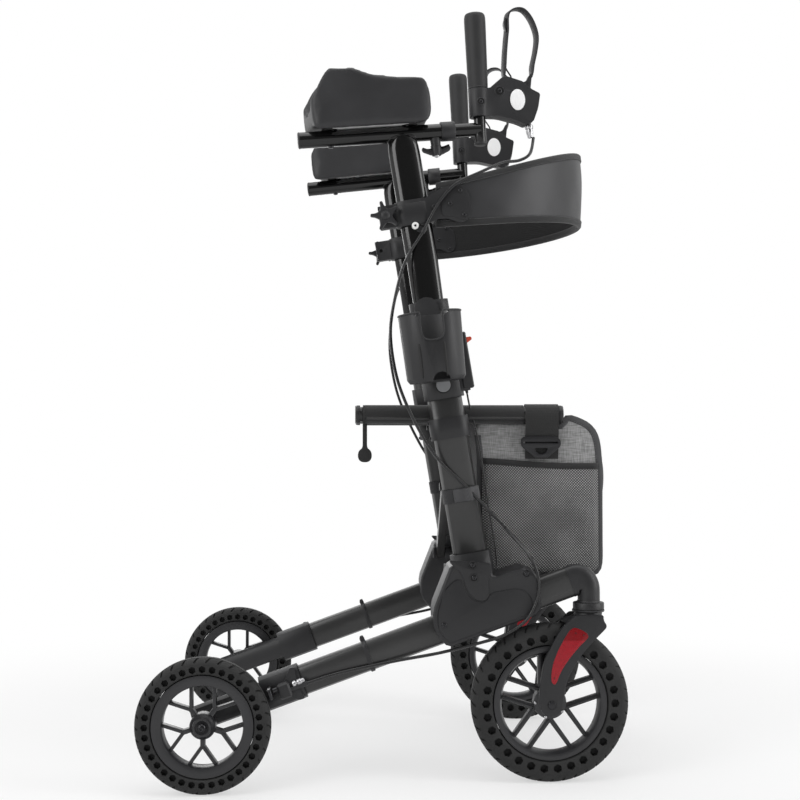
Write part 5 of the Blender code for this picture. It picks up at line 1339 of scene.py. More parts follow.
# Cuts up the mast: height, and half its width and thickness.
MAST_CUTS = [
    (0.332, 0.0232, 0.012), (0.47, 0.0232, 0.012), (0.5, 0.0244, 0.0124),
    (0.56, 0.025, 0.013), (0.65, 0.0252, 0.0131), (0.72, 0.0252, 0.0132), (0.736, 0.025, 0.0133),
    (0.746, 0.0246, 0.0134), (0.753, 0.0234, 0.0134), (0.7585, 0.0214, 0.0134),
    (0.7625, 0.0184, 0.0134), (0.765, 0.0146, 0.01335), (0.7665, 0.0098, 0.0132),
]
for hand, side in SIDES.items():
    mast_body = f"mast_{hand}"
    arm = ARM_FRAME[hand]
    upright = FLIP[hand] @ POST_AXES
    tube_line = [
        (upright @ moved(0.0016 * faded(up, 0.48, 0.56), 0, up), wide, thick) for up, wide, thick in MAST_CUTS
    ]
    fitted(skinned(f"mast_tube_{hand}", tube_line, gloss, 1.0, 72), mast_body, "gloss_black", mast_body)
    lying = arm @ ALONG_X
    fitted(lathed(f"arm_tube_{hand}", [(0, -0.1618), (0.0124, -0.1618), (ARM_RADIUS, -0.1612),
        (ARM_RADIUS, 0.07), (0.0112, 0.0705), (0, 0.0705)], lying, gloss, 64), mast_body, "gloss_black")
    weld_line = []
    for k in range(25):
        turn = math.pi * (k / 24 - 0.5) * 1.15
        point = upright @ Vector((0.0226 * math.sin(turn), 0, 0.756 + 0.0085 * math.cos(turn)))
        local = arm.inverted() @ point
        down = max(-0.0125, min(-0.001, local.z))
        weld_line.append(arm @ Vector((local.x, math.sqrt(max(0, ARM_RADIUS**2 - down**2)), down)))
    for face, way in (("outer", 1), ("inner", -1)):
        weld_points = [arm @ (Matrix.Scale(way, 4, Y) @ (arm.inverted() @ p)) for p in weld_line]
        fitted(strand(f"mast_weld_{face}_{hand}", weld_points, 0.0011, gloss, 10), mast_body, "gloss_black")
    fitted(lathed(f"arm_collar_{hand}", mm([(11.2, 65.5), (15, 65.5), (15.5, 66.2), (15.5, 87.2), (15, 88),
        (11.2, 88), (11.2, 65.5)]), lying, plastic, 48), mast_body)
    fitted(lathed(f"knob_nut_{hand}", mm([(0, -10), (9, -10), (8.2, -15), (7.8, -21.5), (3.2, -21.5),
        (3.2, -15), (0, -15)]), arm @ moved(0.056, 0, 0), plastic, 32), mast_body, "gloss_black")
    for k, x in enumerate(PAD_MOUNTS):
        fitted(lathed(f"pad_mount_{k}_{hand}", mm([(7.1, 0), (12.5, 0), (13.2, 1.2), (10.5, 3.4), (7.1, 3.8),
            (7.1, 0)]), arm @ moved(x, 0, 0.0127), rubber), mast_body)
        fitted(screws(f"pad_screw_{k}_{hand}", [arm @ Vector((x, 0, -0.0128))], -arm.col[2].to_3d(), 0.0042,
            dark_steel), mast_body, "steel")
    fitted(lathed(f"arm_end_cap_{hand}", mm([(0, -1.6), (11.2, -1.6), (12.8, -0.8), (13.1, 0.2), (13.1, 1.2),
        (12.6, 1.4), (0, 1.4)]), arm @ moved(-0.162, 0, 0) @ ALONG_X, plastic), mast_body)
    clip_at = FLIP[hand] @ Vector((0.0468, 0.203, 0.8678))
    out = Y * side
    fitted(lathed(f"clip_washer_{hand}", mm([(0, 1.6), (5, 1.6), (5.6, 1), (5.6, -5), (0, -5)]),
        along(out, clip_at), nylon_white, 24), mast_body, "steel")
    fitted(screws(f"clip_screw_{hand}", [clip_at + out * 0.0017], out, 0.0018, dark_steel), mast_body, "steel")
    before, held, after = mirrored(CABLE_ROUTE[MAST_CLIP - 1 : MAST_CLIP + 2], side)
    fitted(lathed(f"clip_loop_{hand}", mm([(2.7, -4.5), (3.7, -4.5), (3.9, -3.8), (3.9, 3.8), (3.7, 4.5),
        (2.7, 4.5), (2.7, -4.5)]), along(after - before, held), plastic, 24), mast_body)
    fitted(plate(f"clip_tab_{hand}", [cornered(mm([(43, 870), (52, 870), (64, 863.5), (60, 856), (50, 858.5)]),
        0.003)], 0.0014, FLIP[hand] @ moved(0, 0.2, 0) @ SIDE_ON, plastic, 0.0004), mast_body)


# ---------------------------------------------------------------- handle tubes, wing knobs and grips
# A gloss tube slides in each arm tube, held by a wing knob from below. Its upright stem
# carries a plain rubber grip with a rounded top and a fine moulded grain.
grip_rubber = Finish("grip_rubber", shade("1c1c1d"), 0.62)
grip_cells, grip_cloud = grip_rubber.cells(1500.0), grip_rubber.noise(30.0, 3.0)
grip_rubber.give("Base Color", grip_rubber.mixed(grip_cloud.between(0.3, 0.7), shade("19191a"),
    shade("212122")))
grip_rubber.give("Roughness", grip_cloud * 0.12 + grip_cells * 0.08 + 0.5)
grip_rubber.bump(grip_cells, 0.00012, 0.5)

GRIP_FRAME = {
    name: arm @ moved(0.13, 0, 0) @ Matrix.Rotation(math.radians(2.5), 4, "Y")
    for name, arm in ARM_FRAME.items()
}
for hand in SIDES:
    handle_body = f"handle_{hand}"
    hold = GRIP_FRAME[hand]
    dressed(f"handle_tube_{hand}", gloss, 0.0006)
    dressed(f"wing_knob_{hand}", plastic, 0.0008)
    fitted(lathed(f"grip_sleeve_{hand}", mm([(10, 64.8), (15.6, 64.8), (16.2, 65.4), (16.2, 66.4), (15.7, 67.2),
        (16, 69), (16.4, 90), (16.8, 125), (17.2, 160), (17.3, 174), (17.1, 180), (16.3, 184), (14.8, 186.2),
        (12.5, 187.1), (0, 187.3)]), hold, grip_rubber, 64), handle_body, "black_plastic", f"grip_{hand}")
    fitted(lathed(f"stem_plug_{hand}", mm([(0, -26.2), (8.2, -26.2), (10, -25), (10.4, -23.8), (10.4, -21.5),
        (9.9, -21.2), (9.9, -23.9), (0, -23.9)]), hold, plastic), handle_body)
    fitted(plate(f"wing_web_{hand}", [cornered(mm([(-22.2, -25.8), (-8.5, -26.2), (8.5, -24.6), (21.5, -20.2),
        (22.6, -23.8), (13, -34.5), (0, -38), (-13, -35.2), (-22.2, -30.5)]), 0.003)], 0.0058,
        ARM_FRAME[hand] @ moved(0.056, 0, 0) @ SIDE_ON, gloss, 0.0018), f"wing_{hand}")
    fitted(screws(f"wing_screw_{hand}", [ARM_FRAME[hand] @ Vector((0.056, 0, -0.038))],
        -ARM_FRAME[hand].col[2].to_3d(), 0.004, zinc), f"wing_{hand}", "steel")


# ---------------------------------------------------------------- brake housings and levers
# Two moulded halves clamped round the stem with a pivot screw and a clamp screw, a blank
# oval inlay outside, and a bent strip lever. The cable leaves by a barrel adjuster.
# Near black for painted shade: thin discs, rings and strips laid where recesses, gaps and grooves fall in shade.
deep_black = coated("deep_black", shade("070707"), 0.6, 1500, 0.0)
inlay_white = coated("inlay_white", shade("ececec"), 0.35, 900, 0.0)
LEVER_LOOP = mm([(44.5, 79), (45, 110.3), (48.8, 142.9), (51.2, 160), (52, 178.8), (56, 189), (66.5, 194.3),
    (79, 192.5), (89.8, 180), (97.2, 162), (99.6, 145), (96.2, 124), (90.5, 102.1), (85.8, 80), (64, 70)])
LEVER_FOOT = mm([(26.2, 54.5), (35, 49), (60, 50), (84, 56), (88.5, 87), (84.5, 87), (78, 74), (52, 76),
    (46.5, 86), (43, 86), (42, 76), (26.2, 64)])
PARK_CATCH = [(0.0462, 0.101), (0.049, 0.095), (0.0545, 0.086), (0.058, 0.074)]
HOUSING_SPLIT = [(0.008, 0.02), (0.03, 0.0188), (0.06, 0.0102), (0.0725, 0.0045)]
INLAY_X, INLAY_Z = 0.0612, 0.0438
STRIP_SECTION = mm([(-1.5, -6.6), (-1.1, -7.3), (-0.4, -7.5), (0.4, -7.5), (1.1, -7.3), (1.5, -6.6), (1.5, 6.6),
    (1.1, 7.3), (0.4, 7.5), (-0.4, 7.5), (-1.1, 7.3), (-1.5, 6.6)])
for hand, side in SIDES.items():
    handle_body = f"handle_{hand}"
    hold = GRIP_FRAME[hand]
    dressed(f"brake_housing_{hand}", plastic, 0.0007)
    strip_line = smooth_line(LEVER_LOOP, 6, True)
    strip_rows = []
    for k, p in enumerate(strip_line):
        ahead = (strip_line[(k + 1) % len(strip_line)] - strip_line[k - 1]).normalized()
        side_way = Vector((ahead.y, -ahead.x))
        row = []
        for u, v in STRIP_SECTION:
            q = p + side_way * u
            row.append(hold @ Vector((q.x + 0.27 * v * faded(q.y, 0.078, 0.1), v, q.y)))
        strip_rows.append(row)
    fitted(softly_shaded(grid(f"lever_loop_{hand}", strip_rows + strip_rows[:1], plastic, around=True), 42),
        f"lever_{hand}", "black_plastic", f"brake_lever_{hand}")
    fitted(plate(f"lever_foot_{hand}", [cornered(LEVER_FOOT, 0.006, 6)], 0.0146, hold @ SIDE_ON, plastic,
        0.001), f"lever_{hand}")
    catch_line = [hold @ Vector((x, 0.0, z)) for x, z in PARK_CATCH]
    fitted(strand(f"park_catch_{hand}", catch_line, 0.0013, plastic, 10), f"lever_{hand}")
    fitted(plate(f"lever_nib_{hand}", [cornered(mm([(50.5, 180), (47.8, 177.5), (46.3, 171), (47, 164),
        (50, 156), (52, 164)]), 0.002)], 0.012, hold @ SIDE_ON, plastic, 0.001), f"lever_{hand}")
    outward = hold.col[1].to_3d()
    for face, way in (("outer", 1), ("inner", -1)):
        pivot_at, clamp_at = Vector((0.0322, 0.0135 * way, 0.0579)), Vector((0.0005, 0.0165 * way, 0.0412))
        fitted(screws(f"lever_pivot_{face}_{hand}", [hold @ (pivot_at + Y * 0.00054 * way)], outward * way,
            0.0038, dark_steel), handle_body, "steel")
        fitted(lathed(f"pivot_boss_{face}_{hand}", mm([(6, 0), (8.4, 0), (8.4, 0.7), (7.7, 1.3), (6.4, 1.3),
            (6, 0)]), along(outward * way, hold @ pivot_at), plastic, 28), handle_body)
        # A thin near-black disc round each pivot and clamp screw: painted shade in the recess it sits in.
        for shadow_name, middle, reach in (("pivot", pivot_at, 0.0061), ("clamp", clamp_at, 0.0047)):
            fitted(lathed(f"{shadow_name}_recess_{face}_{hand}", [(0, 0.0004), (reach, 0.0004), (reach, -0.001),
                (0, -0.001)], along(outward * way, hold @ middle), deep_black, 28), handle_body)
        fitted(screws(f"clamp_screw_{face}_{hand}", [hold @ clamp_at], outward * way, 0.003, dark_steel),
            handle_body, "steel")
        fitted(lathed(f"clamp_well_{face}_{hand}", mm([(4.6, -2), (6.8, -2), (6.8, 0.3), (6, 1.1), (4.8, 1.1),
            (4.6, -2)]), along(outward * way, hold @ clamp_at), plastic, 28), handle_body)
        oval = [(INLAY_X + 0.0122 * c, INLAY_Z + 0.017 * s) for c, s in circle_points(40)]
        fitted(plate(f"housing_inlay_{face}_{hand}", [oval], 0.0009, hold @ moved(0, 0.0137 * way, 0) @ SIDE_ON,
            inlay_white, 0.0003), handle_body, "steel")
        rim_line = [
            hold @ Vector((INLAY_X + 0.0128 * c, 0.0136 * way, INLAY_Z + 0.0177 * s))
            for c, s in circle_points(40)
        ]
        fitted(strand(f"inlay_rim_{face}_{hand}", rim_line, 0.0006, plastic, 8, closed=True), handle_body)
    leaves = hold @ Vector((0.08, 0, 0.008))
    way = hold.to_3x3() @ Vector((0.1, 0, -1))
    fitted(lathed(f"lever_adjuster_{hand}", mm([(4.1, 3), (6.2, 3), (6.6, 3.6), (6.6, 8.2), (6.2, 8.8),
        (4.8, 9), (4.8, 10.4), (5.6, 11), (5.6, 16.5), (5, 18), (4.4, 23.2), (3, 23.6), (3, 20), (4.1, 20),
        (4.1, 3)]), along(way, leaves), zinc, 24), handle_body, "steel")
    fitted(pressed_ring(f"adjuster_groove_{hand}", along(way, leaves + way * 0.0057), 0.0066, 0.0005, zinc),
        handle_body, "steel")
    split = [hold @ Vector((x, 0.0, z)) for x, z in HOUSING_SPLIT]
    fitted(strand(f"housing_seam_{hand}", smooth_line(split, 5), 0.0007, plastic, 8), handle_body)


# ---------------------------------------------------------------- backrest brackets and star knobs
# Moulded clamps round the masts with a fan-shaped plate screwed to each end of the band.
# A five-armed knob with a steel bolt closes each clamp.
def oval_line(width, thickness, count=56):
    """The edge of a flat-sided oval tube, with its points evenly spread."""
    radius = min(width, thickness) * 0.46
    flat_x, flat_y = width / 2 - radius, thickness / 2 - radius
    corners = [
        (math.copysign(flat_x, x) + radius * x, math.copysign(flat_y, y) + radius * y)
        for x, y in circle_points(24, math.pi / 24)
    ]
    edge = corners + corners[:1]
    steps = [0.0]
    for a, b in zip(edge, edge[1:]):
        steps.append(steps[-1] + math.dist(a, b))
    wanted = [steps[-1] * k / count for k in range(count)]
    return list(zip(*(np.interp(wanted, steps, values) for values in zip(*edge))))


def wrapped(name, place, width, thickness, low, high, wall, finish, bulge=None):
    """A band round an oval tube. bulge is the place across the tube where it lifts, and how far."""
    rows = []
    ends = ((0.0, low), (0.7 * wall, low), (wall, low + 0.4 * wall), (wall, high - 0.4 * wall),
        (0.7 * wall, high), (0.0, high))
    for out, up in (*ends, ends[0]):
        row = []
        for x, y in oval_line(width + 2 * out, thickness + 2 * out):
            if bulge and y > 0 and out:
                y += bulge[1] * math.exp(-(((x - bulge[0]) / 0.0052) ** 2))
            row.append(place @ Vector((x, y, up)))
        rows.append(row)
    return softly_shaded(grid(name, rows, finish, around=True), 45)


STAR_X, STAR_Z = -0.00089, 0.88239
FAN_AT = Vector((STAR_X + 0.046 * 0.98629, 0, STAR_Z + 0.046 * 0.16505))
PLATE_SCREWS = mm([(73.5, 34.5), (57.5, 13.1), (80, -4.1), (32.5, 8.8)])
INNER_SCREWS = [(0.1227, 0.9268), (0.1081, 0.9047), (0.1291, 0.8875)]
FAN_EDGE = mm([(43, 10.5), (45.5, 29), (60, 40), (75.1, 44), (86, 30), (91.5, 13), (89.6, -5.7), (80, -13.7),
    (62.4, -5.7), (46.3, -8.8)])
STAR_ARM = [(-0.17, 0.017), (-0.105, 0.0236), (0.105, 0.0236), (0.17, 0.017), (math.pi / 5, 0.0108)]
STAR_EDGE = []
for k in range(5):
    tip = math.pi + 2 * math.pi * k / 5
    STAR_EDGE += [(reach * math.cos(tip + turn), reach * math.sin(tip + turn)) for turn, reach in STAR_ARM]
for hand, side in SIDES.items():
    mast_body = f"mast_{hand}"
    dressed(f"backrest_bracket_{hand}", plastic, 0.0008)
    fitted(plate(f"star_arms_{hand}", [cornered(STAR_EDGE, 0.0026, 4)], 0.0095,
        FLIP[hand] @ moved(STAR_X, 0.2078, STAR_Z) @ SIDE_ON, plastic, 0.0019), f"star_{hand}", "black_plastic",
        f"star_knob_{hand}")
    points = [FLIP[hand] @ Vector((FAN_AT.x + u, 0.2027, FAN_AT.z + v)) for u, v in PLATE_SCREWS]
    fitted(screws(f"bracket_screws_{hand}", points, Y * side, 0.0032, dark_steel), mast_body, "steel")
    # A near-black disc under each fan screw: painted shade round its head.
    for k, point in enumerate(points):
        fitted(lathed(f"screw_well_{k}_{hand}", mm([(0, -0.8), (4.5, -0.8), (4.5, 0.3), (3.8, 0.5), (0, 0.2)]),
            along(Y * side, point), deep_black, 28), mast_body)
    fitted(lathed(f"star_hub_{hand}", mm([(0, 3), (3, 2.8), (5.8, 1.8), (7.6, 0.2), (8, -1), (0, -1)]),
        FLIP[hand] @ along(Y, (STAR_X, 0.2126, STAR_Z)), plastic, 32), f"star_{hand}")
    fitted(plate(f"bracket_web_{hand}", [cornered(FAN_EDGE, 0.008)], 0.0018,
        FLIP[hand] @ moved(FAN_AT.x, 0.2016, FAN_AT.z) @ SIDE_ON, plastic, 0.0007), mast_body)
    upright = FLIP[hand] @ POST_AXES
    clamp_height = (POST_AXES.inverted() @ Vector((0.0225, 0.185, 0.8835))).z
    fitted(wrapped(f"clamp_band_{hand}", upright, 0.056, 0.0316, clamp_height - 0.0172, clamp_height + 0.0172,
        0.0022, plastic), mast_body)
    fitted(plate(f"inner_fan_{hand}", [cornered(mm([(94.6, 902), (96.5, 930), (123, 935), (138, 918),
        (140.5, 890), (129, 879), (109, 888), (96, 886)]), 0.008)], 0.0022,
        FLIP[hand] @ moved(0, 0.1815, 0) @ SIDE_ON, plastic, 0.0007), mast_body)
    inner_points = [FLIP[hand] @ Vector((x, 0.1801, z)) for x, z in INNER_SCREWS]
    fitted(screws(f"inner_fan_screws_{hand}", inner_points, Y * -side, 0.0032, dark_steel), mast_body, "steel")


# ---------------------------------------------------------------- cup holder
# One moulded cup with a slot for a mug's handle and a thumb notch, on a clip round the
# right post. Its rim is beaded, and two channels run down the front.
dressed("cup_holder", plastic, 0.0006, 30)
cup_frame = FLIP["right"] @ Matrix((
    (0.99377, 0, -0.11147, 0.07768), (0, 1, 0, 0.25541), (0.11147, 0, 0.99377, 0.61884), (0, 0, 0, 1),
))
CUP_HEIGHT, CUP_TOP, CUP_BASE, CUP_DEPTH = 0.106, 0.0487, 0.0455, 0.875
CHANNEL_CUT = [(-1, -0.0012), (-1, 0.0001), (-0.5, 0.0004), (0.5, 0.0004), (1, 0.0001), (1, -0.0012)]


def on_cup(turn, height, out=0.0):
    """A place on the cup's outside: the turn from its forward side, and the height."""
    radius = CUP_BASE + (CUP_TOP - CUP_BASE) * height / CUP_HEIGHT + out
    return cup_frame @ Vector((radius * math.cos(turn), radius * math.sin(turn) * CUP_DEPTH, height))


# The two channels down the front are near-black strips laid on the cup: their dark is painted shade.
CHANNEL_X = (-0.023, 0.015)
for k, x in enumerate(CHANNEL_X):
    rows = []
    for step in range(13):
        share = step / 12
        height = 0.006 + 0.052 * (1 - share)
        half = 0.0019 * math.sin(math.pi * min(1.0, 0.12 + share * 0.85)) ** 0.5
        row = []
        for side_step, proud in CHANNEL_CUT:
            turn = math.acos((x + side_step * half) / 0.0465)
            row.append(on_cup(turn, height, proud))
        rows.append(row)
    fitted(grid(f"cup_channel_{k}", rows, deep_black, around=True, capped=True), "right_frame")
bead_line = [
    on_cup(math.radians(112 + (428 - 112) * k / 32), CUP_HEIGHT - 0.0006, -0.0002) for k in range(33)
]
half_notch = [(0.0172, 0.0985), (0.0175, 0.086), (0.0168, 0.072), (0.0115, 0.064)]
notch_line = [*half_notch, (0.0, 0.0618), *((-x, z) for x, z in reversed(half_notch))]
notch = [on_cup(math.acos(x / 0.0475), z, -0.0008) for x, z in notch_line]
around_notch = smooth_line([bead_line[-1], *notch, bead_line[0]], 4)[1:-1]
fitted(strand("cup_rim_bead", bead_line + around_notch, 0.0014, plastic, 10, closed=True), "right_frame")


# ---------------------------------------------------------------- post fittings
# Moulded collars with a sprung grey button, a bush in each post's mouth, a clamp band at
# the saddle, and a hook-and-loop band that holds the cable to the post.
button_grey = coated("button_grey", shade("7c7d7f"), 0.36, 700, 0.25)
loop_tape = woven("hook_and_loop_tape", shade("2c2c2e"), shade("202022"), 0.85, 0.001, 0.2)
loop_end = woven("hook_and_loop_end", shade("4a4a4c"), shade("3a3a3c"), 0.85, 0.001, 0.2)
CABLE_LIFT = (0.014, 0.0062)
# Each band: across the post both ways, from and to along it, wall, finish, and where a cable lifts it.
POST_BANDS = [
    ("post_bush", 0.0612, 0.0372, 0.4775, 0.4964, 0.0008, plastic),
    ("saddle_band", 0.0622, 0.0382, 0.2765, 0.3095, 0.0008, plastic),
    ("cable_band", 0.0553, 0.0313, 0.1745, 0.1965, 0.0016, loop_tape, CABLE_LIFT),
    ("cable_band_end", 0.0586, 0.0346, 0.1755, 0.1955, 0.0009, loop_end, CABLE_LIFT),
]


def outer_middle(solid_name):
    """The middle of a carried-over solid's outer face."""
    solid = frame["nodes"][solid_name]
    places = [solid.matrix_world @ v.co for v in solid.data.vertices]
    outermost = max(abs(p.y) for p in places)
    face = [p for p in places if abs(p.y) > outermost - 0.0004]
    return sum(face, Vector()) / len(face)


for hand, side in SIDES.items():
    frame_body = f"{hand}_frame"
    dressed(f"height_collar_{hand}", plastic, 0.0008)
    dressed(f"height_button_{hand}", button_grey, 0.0005)
    axes = FLIP[hand] @ POST_AXES
    on_button = along(Y * side, outer_middle(f"height_button_{hand}"))
    fitted(lathed(f"button_face_{hand}", mm([(0, 0.4), (10.9, 0.4), (11.2, 0.1), (11, -0.1), (0, -0.1)]),
        on_button, button_grey, 40), f"button_{hand}", "button_grey")
    # A near-black ring round the button, inside the collar: painted shade in the gap.
    fitted(lathed(f"button_well_{hand}", mm([(11.5, -3.1), (11.5, -1.4), (12.4, -1.2), (12.8, -1.8),
        (12.8, -3.1), (11.5, -3.1)]), on_button, deep_black, 40), frame_body)
    for band_name, *sizes in POST_BANDS:
        wrapping = wrapped(f"{band_name}_{hand}", axes, *sizes)
        if band_name == "cable_band_end":
            to_axes = axes.inverted()
            without(wrapping, lambda at, _: not ((to_axes @ at).y > 0.004 and (to_axes @ at).x > -0.012))
            with Edited(wrapping.data) as edit:
                open_edges = [e for e in edit.edges if len(e.link_faces) == 1]
                bmesh.ops.holes_fill(edit, edges=open_edges, sides=0)
                bmesh.ops.recalc_face_normals(edit, faces=edit.faces)
        fitted(wrapping, frame_body)
    for k, up in enumerate((0.281, 0.305)):
        fitted(screws(f"band_screw_{k}_{hand}", [axes @ Vector((-0.0322, 0, up))], axes.to_3x3() @ -X, 0.0026,
            dark_steel), frame_body, "steel")


# ---------------------------------------------------------------- fold release
# An orange thumb lever in a slim black body on the front of the right collar. A thin
# cable runs down from it, inside the post, to the cross brace.
release_orange = coated("release_orange", shade("c8452c"), 0.35, 700, 0.0)
dressed("release_lever", release_orange, 0.0006)
RELEASE_ROUTE = mm([(127.2, 164, 625), (130.5, 163, 610.6), (136.6, 160, 581.1), (146.4, 160, 544.2),
    (153.8, 160, 507.3), (160, 159.5, 465.5), (167.3, 159, 416.3), (175.9, 159, 367.1), (179, 160, 340),
    (179.6, 164, 325.3)])
release_line = smooth_line(mirrored(RELEASE_ROUTE, -1), 6)
fitted(strand("release_cable", release_line, 0.0015, jacket, 10), "right_frame", "cable_black")
run_down = (release_line[6] - release_line[0]).normalized()
fitted(lathed("release_ferrule", mm([(0, -12), (3, -12), (3.6, -10), (3.6, 10), (3, 14), (1.9, 20), (0, 20)]),
    along(run_down, release_line[1]), plastic, 24), "right_frame")


# ---------------------------------------------------------------- seat rail ends and hanging strap
# Black moulded caps close both seat rails. A rubber strap with a rounded paddle hangs from
# the right rail, for tying the folded walker together.
STRAP_HALF = mm([(3.6, 6), (5, 2.2), (9.2, -0.8), (11.2, -6.2), (11.2, -12.5), (8.5, -17.8), (3.5, -20)])
STRAP_OUTLINE = [(-0.0036, 0.0452), (0.0036, 0.0452), *STRAP_HALF, *((-x, z) for x, z in reversed(STRAP_HALF))]
STRAP_AT = Vector((-0.03245, -SEAT_RAIL_Y, 0.513))
RAIL_ENDS = {"rear": (-0.046, -1), "front": (0.286, 1)}
for brace_name, side in (("brace_a", -1), ("brace_b", 1)):
    for way_name, out in (("outer", 1), ("inner", -1)):
        keder_line = [Vector((x, side * (SEAT_RAIL_Y + out * 0.0134), 0.5642)) for x in (-0.03, 0.223)]
        fitted(strand(f"rail_keder_{way_name}_{brace_name}", keder_line, 0.0024, frame_paint, 12), brace_name,
            "frame_grey")
    for end_name, (x, way) in RAIL_ENDS.items():
        fitted(lathed(f"seat_rail_cap_{end_name}_{brace_name}", mm([(0, 1.2), (10.5, 1.2), (13.7, 0.4),
            (14.9, -1), (14.9, -5.1), (14.5, -5.7), (12.6, -5.7), (12.6, -3), (0, -3)]),
            along(X * way, (x, SEAT_RAIL_Y * side, SEAT_RAIL_Z)), plastic, 36), brace_name)
fitted(plate("hanging_strap", [cornered(STRAP_OUTLINE, 0.003)], 0.0038, Matrix.Translation(STRAP_AT) @ SIDE_ON,
    rubber, 0.0009), "brace_a", "tyre_rubber", "fold_strap")
fitted(lathed("hanging_strap_ring", mm([(12.8, -3.3), (14.8, -3.3), (15.3, -2.6), (15.3, 2.6), (14.8, 3.3),
    (12.8, 3.3), (12.8, -3.3)]), along(X, (STRAP_AT.x, STRAP_AT.y, SEAT_RAIL_Z)), rubber, 36), "brace_a",
    "tyre_rubber")


# ---------------------------------------------------------------- hub covers
# Two moulded halves clamp the side rail and take the foot of the post: a smooth body with
# a raised U-shaped socket round the post, a sunk flange in front, and four screws.
HUB_AXES = Matrix((
    (0.94029, -0.34038, 0, 0.15001), (0, 0, -1, 0.2445), (0.34038, 0.94029, 0, 0.25935), (0, 0, 0, 1),
))
SOCKET_EDGE = mm([(-22.5, 98.5), (-18.7, 88), (-11, 76), (-10, 64), (-10.7, 50), (-8.5, 37.4), (-1.3, 26.1),
    (10.5, 20.6), (19.6, 27), (24.5, 48), (33, 56), (38.5, 72)])
LOWER_PANEL = mm([(-64, -21.5), (73, -21.5), (79, 2), (70, 17), (58, 22.5), (23, 29), (10.5, 18), (-3.5, 24),
    (-11.8, 37), (-14, 64), (-23, 66), (-44, 56), (-64, 29), (-73, 4)])
HUB_SCREWS = mm([(10.3, 79), (5.9, 60), (84.2, 38.2), (-62.2, 7.3)])
for hand, side in SIDES.items():
    frame_body = f"{hand}_frame"
    dressed(f"hub_cover_{hand}", plastic, 0.0009)
    hub_axes = FLIP[hand] @ HUB_AXES
    fitted(plate(f"hub_socket_{hand}", [cornered(SOCKET_EDGE, 0.006)], 0.003, hub_axes @ moved(0, 0, 0.0006),
        plastic, 0.0012), frame_body)
    fitted(plate(f"hub_panel_{hand}", [cornered(LOWER_PANEL, 0.008)], 0.0022, hub_axes @ moved(0, 0, 0.0008),
        plastic, 0.0009), frame_body)
    heads = [hub_axes @ Vector((u, v, z)) for (u, v), z in zip(HUB_SCREWS, (-0.0021, -0.0021, 0.0003, 0.0003))]
    fitted(screws(f"hub_screws_{hand}", heads, Y * side, 0.004, dark_steel), frame_body, "steel")
    for k, point in enumerate(heads):
        fitted(pressed_ring(f"hub_screw_well_{k}_{hand}", along(Y * side, point), 0.0052, 0.0007, plastic),
            frame_body)


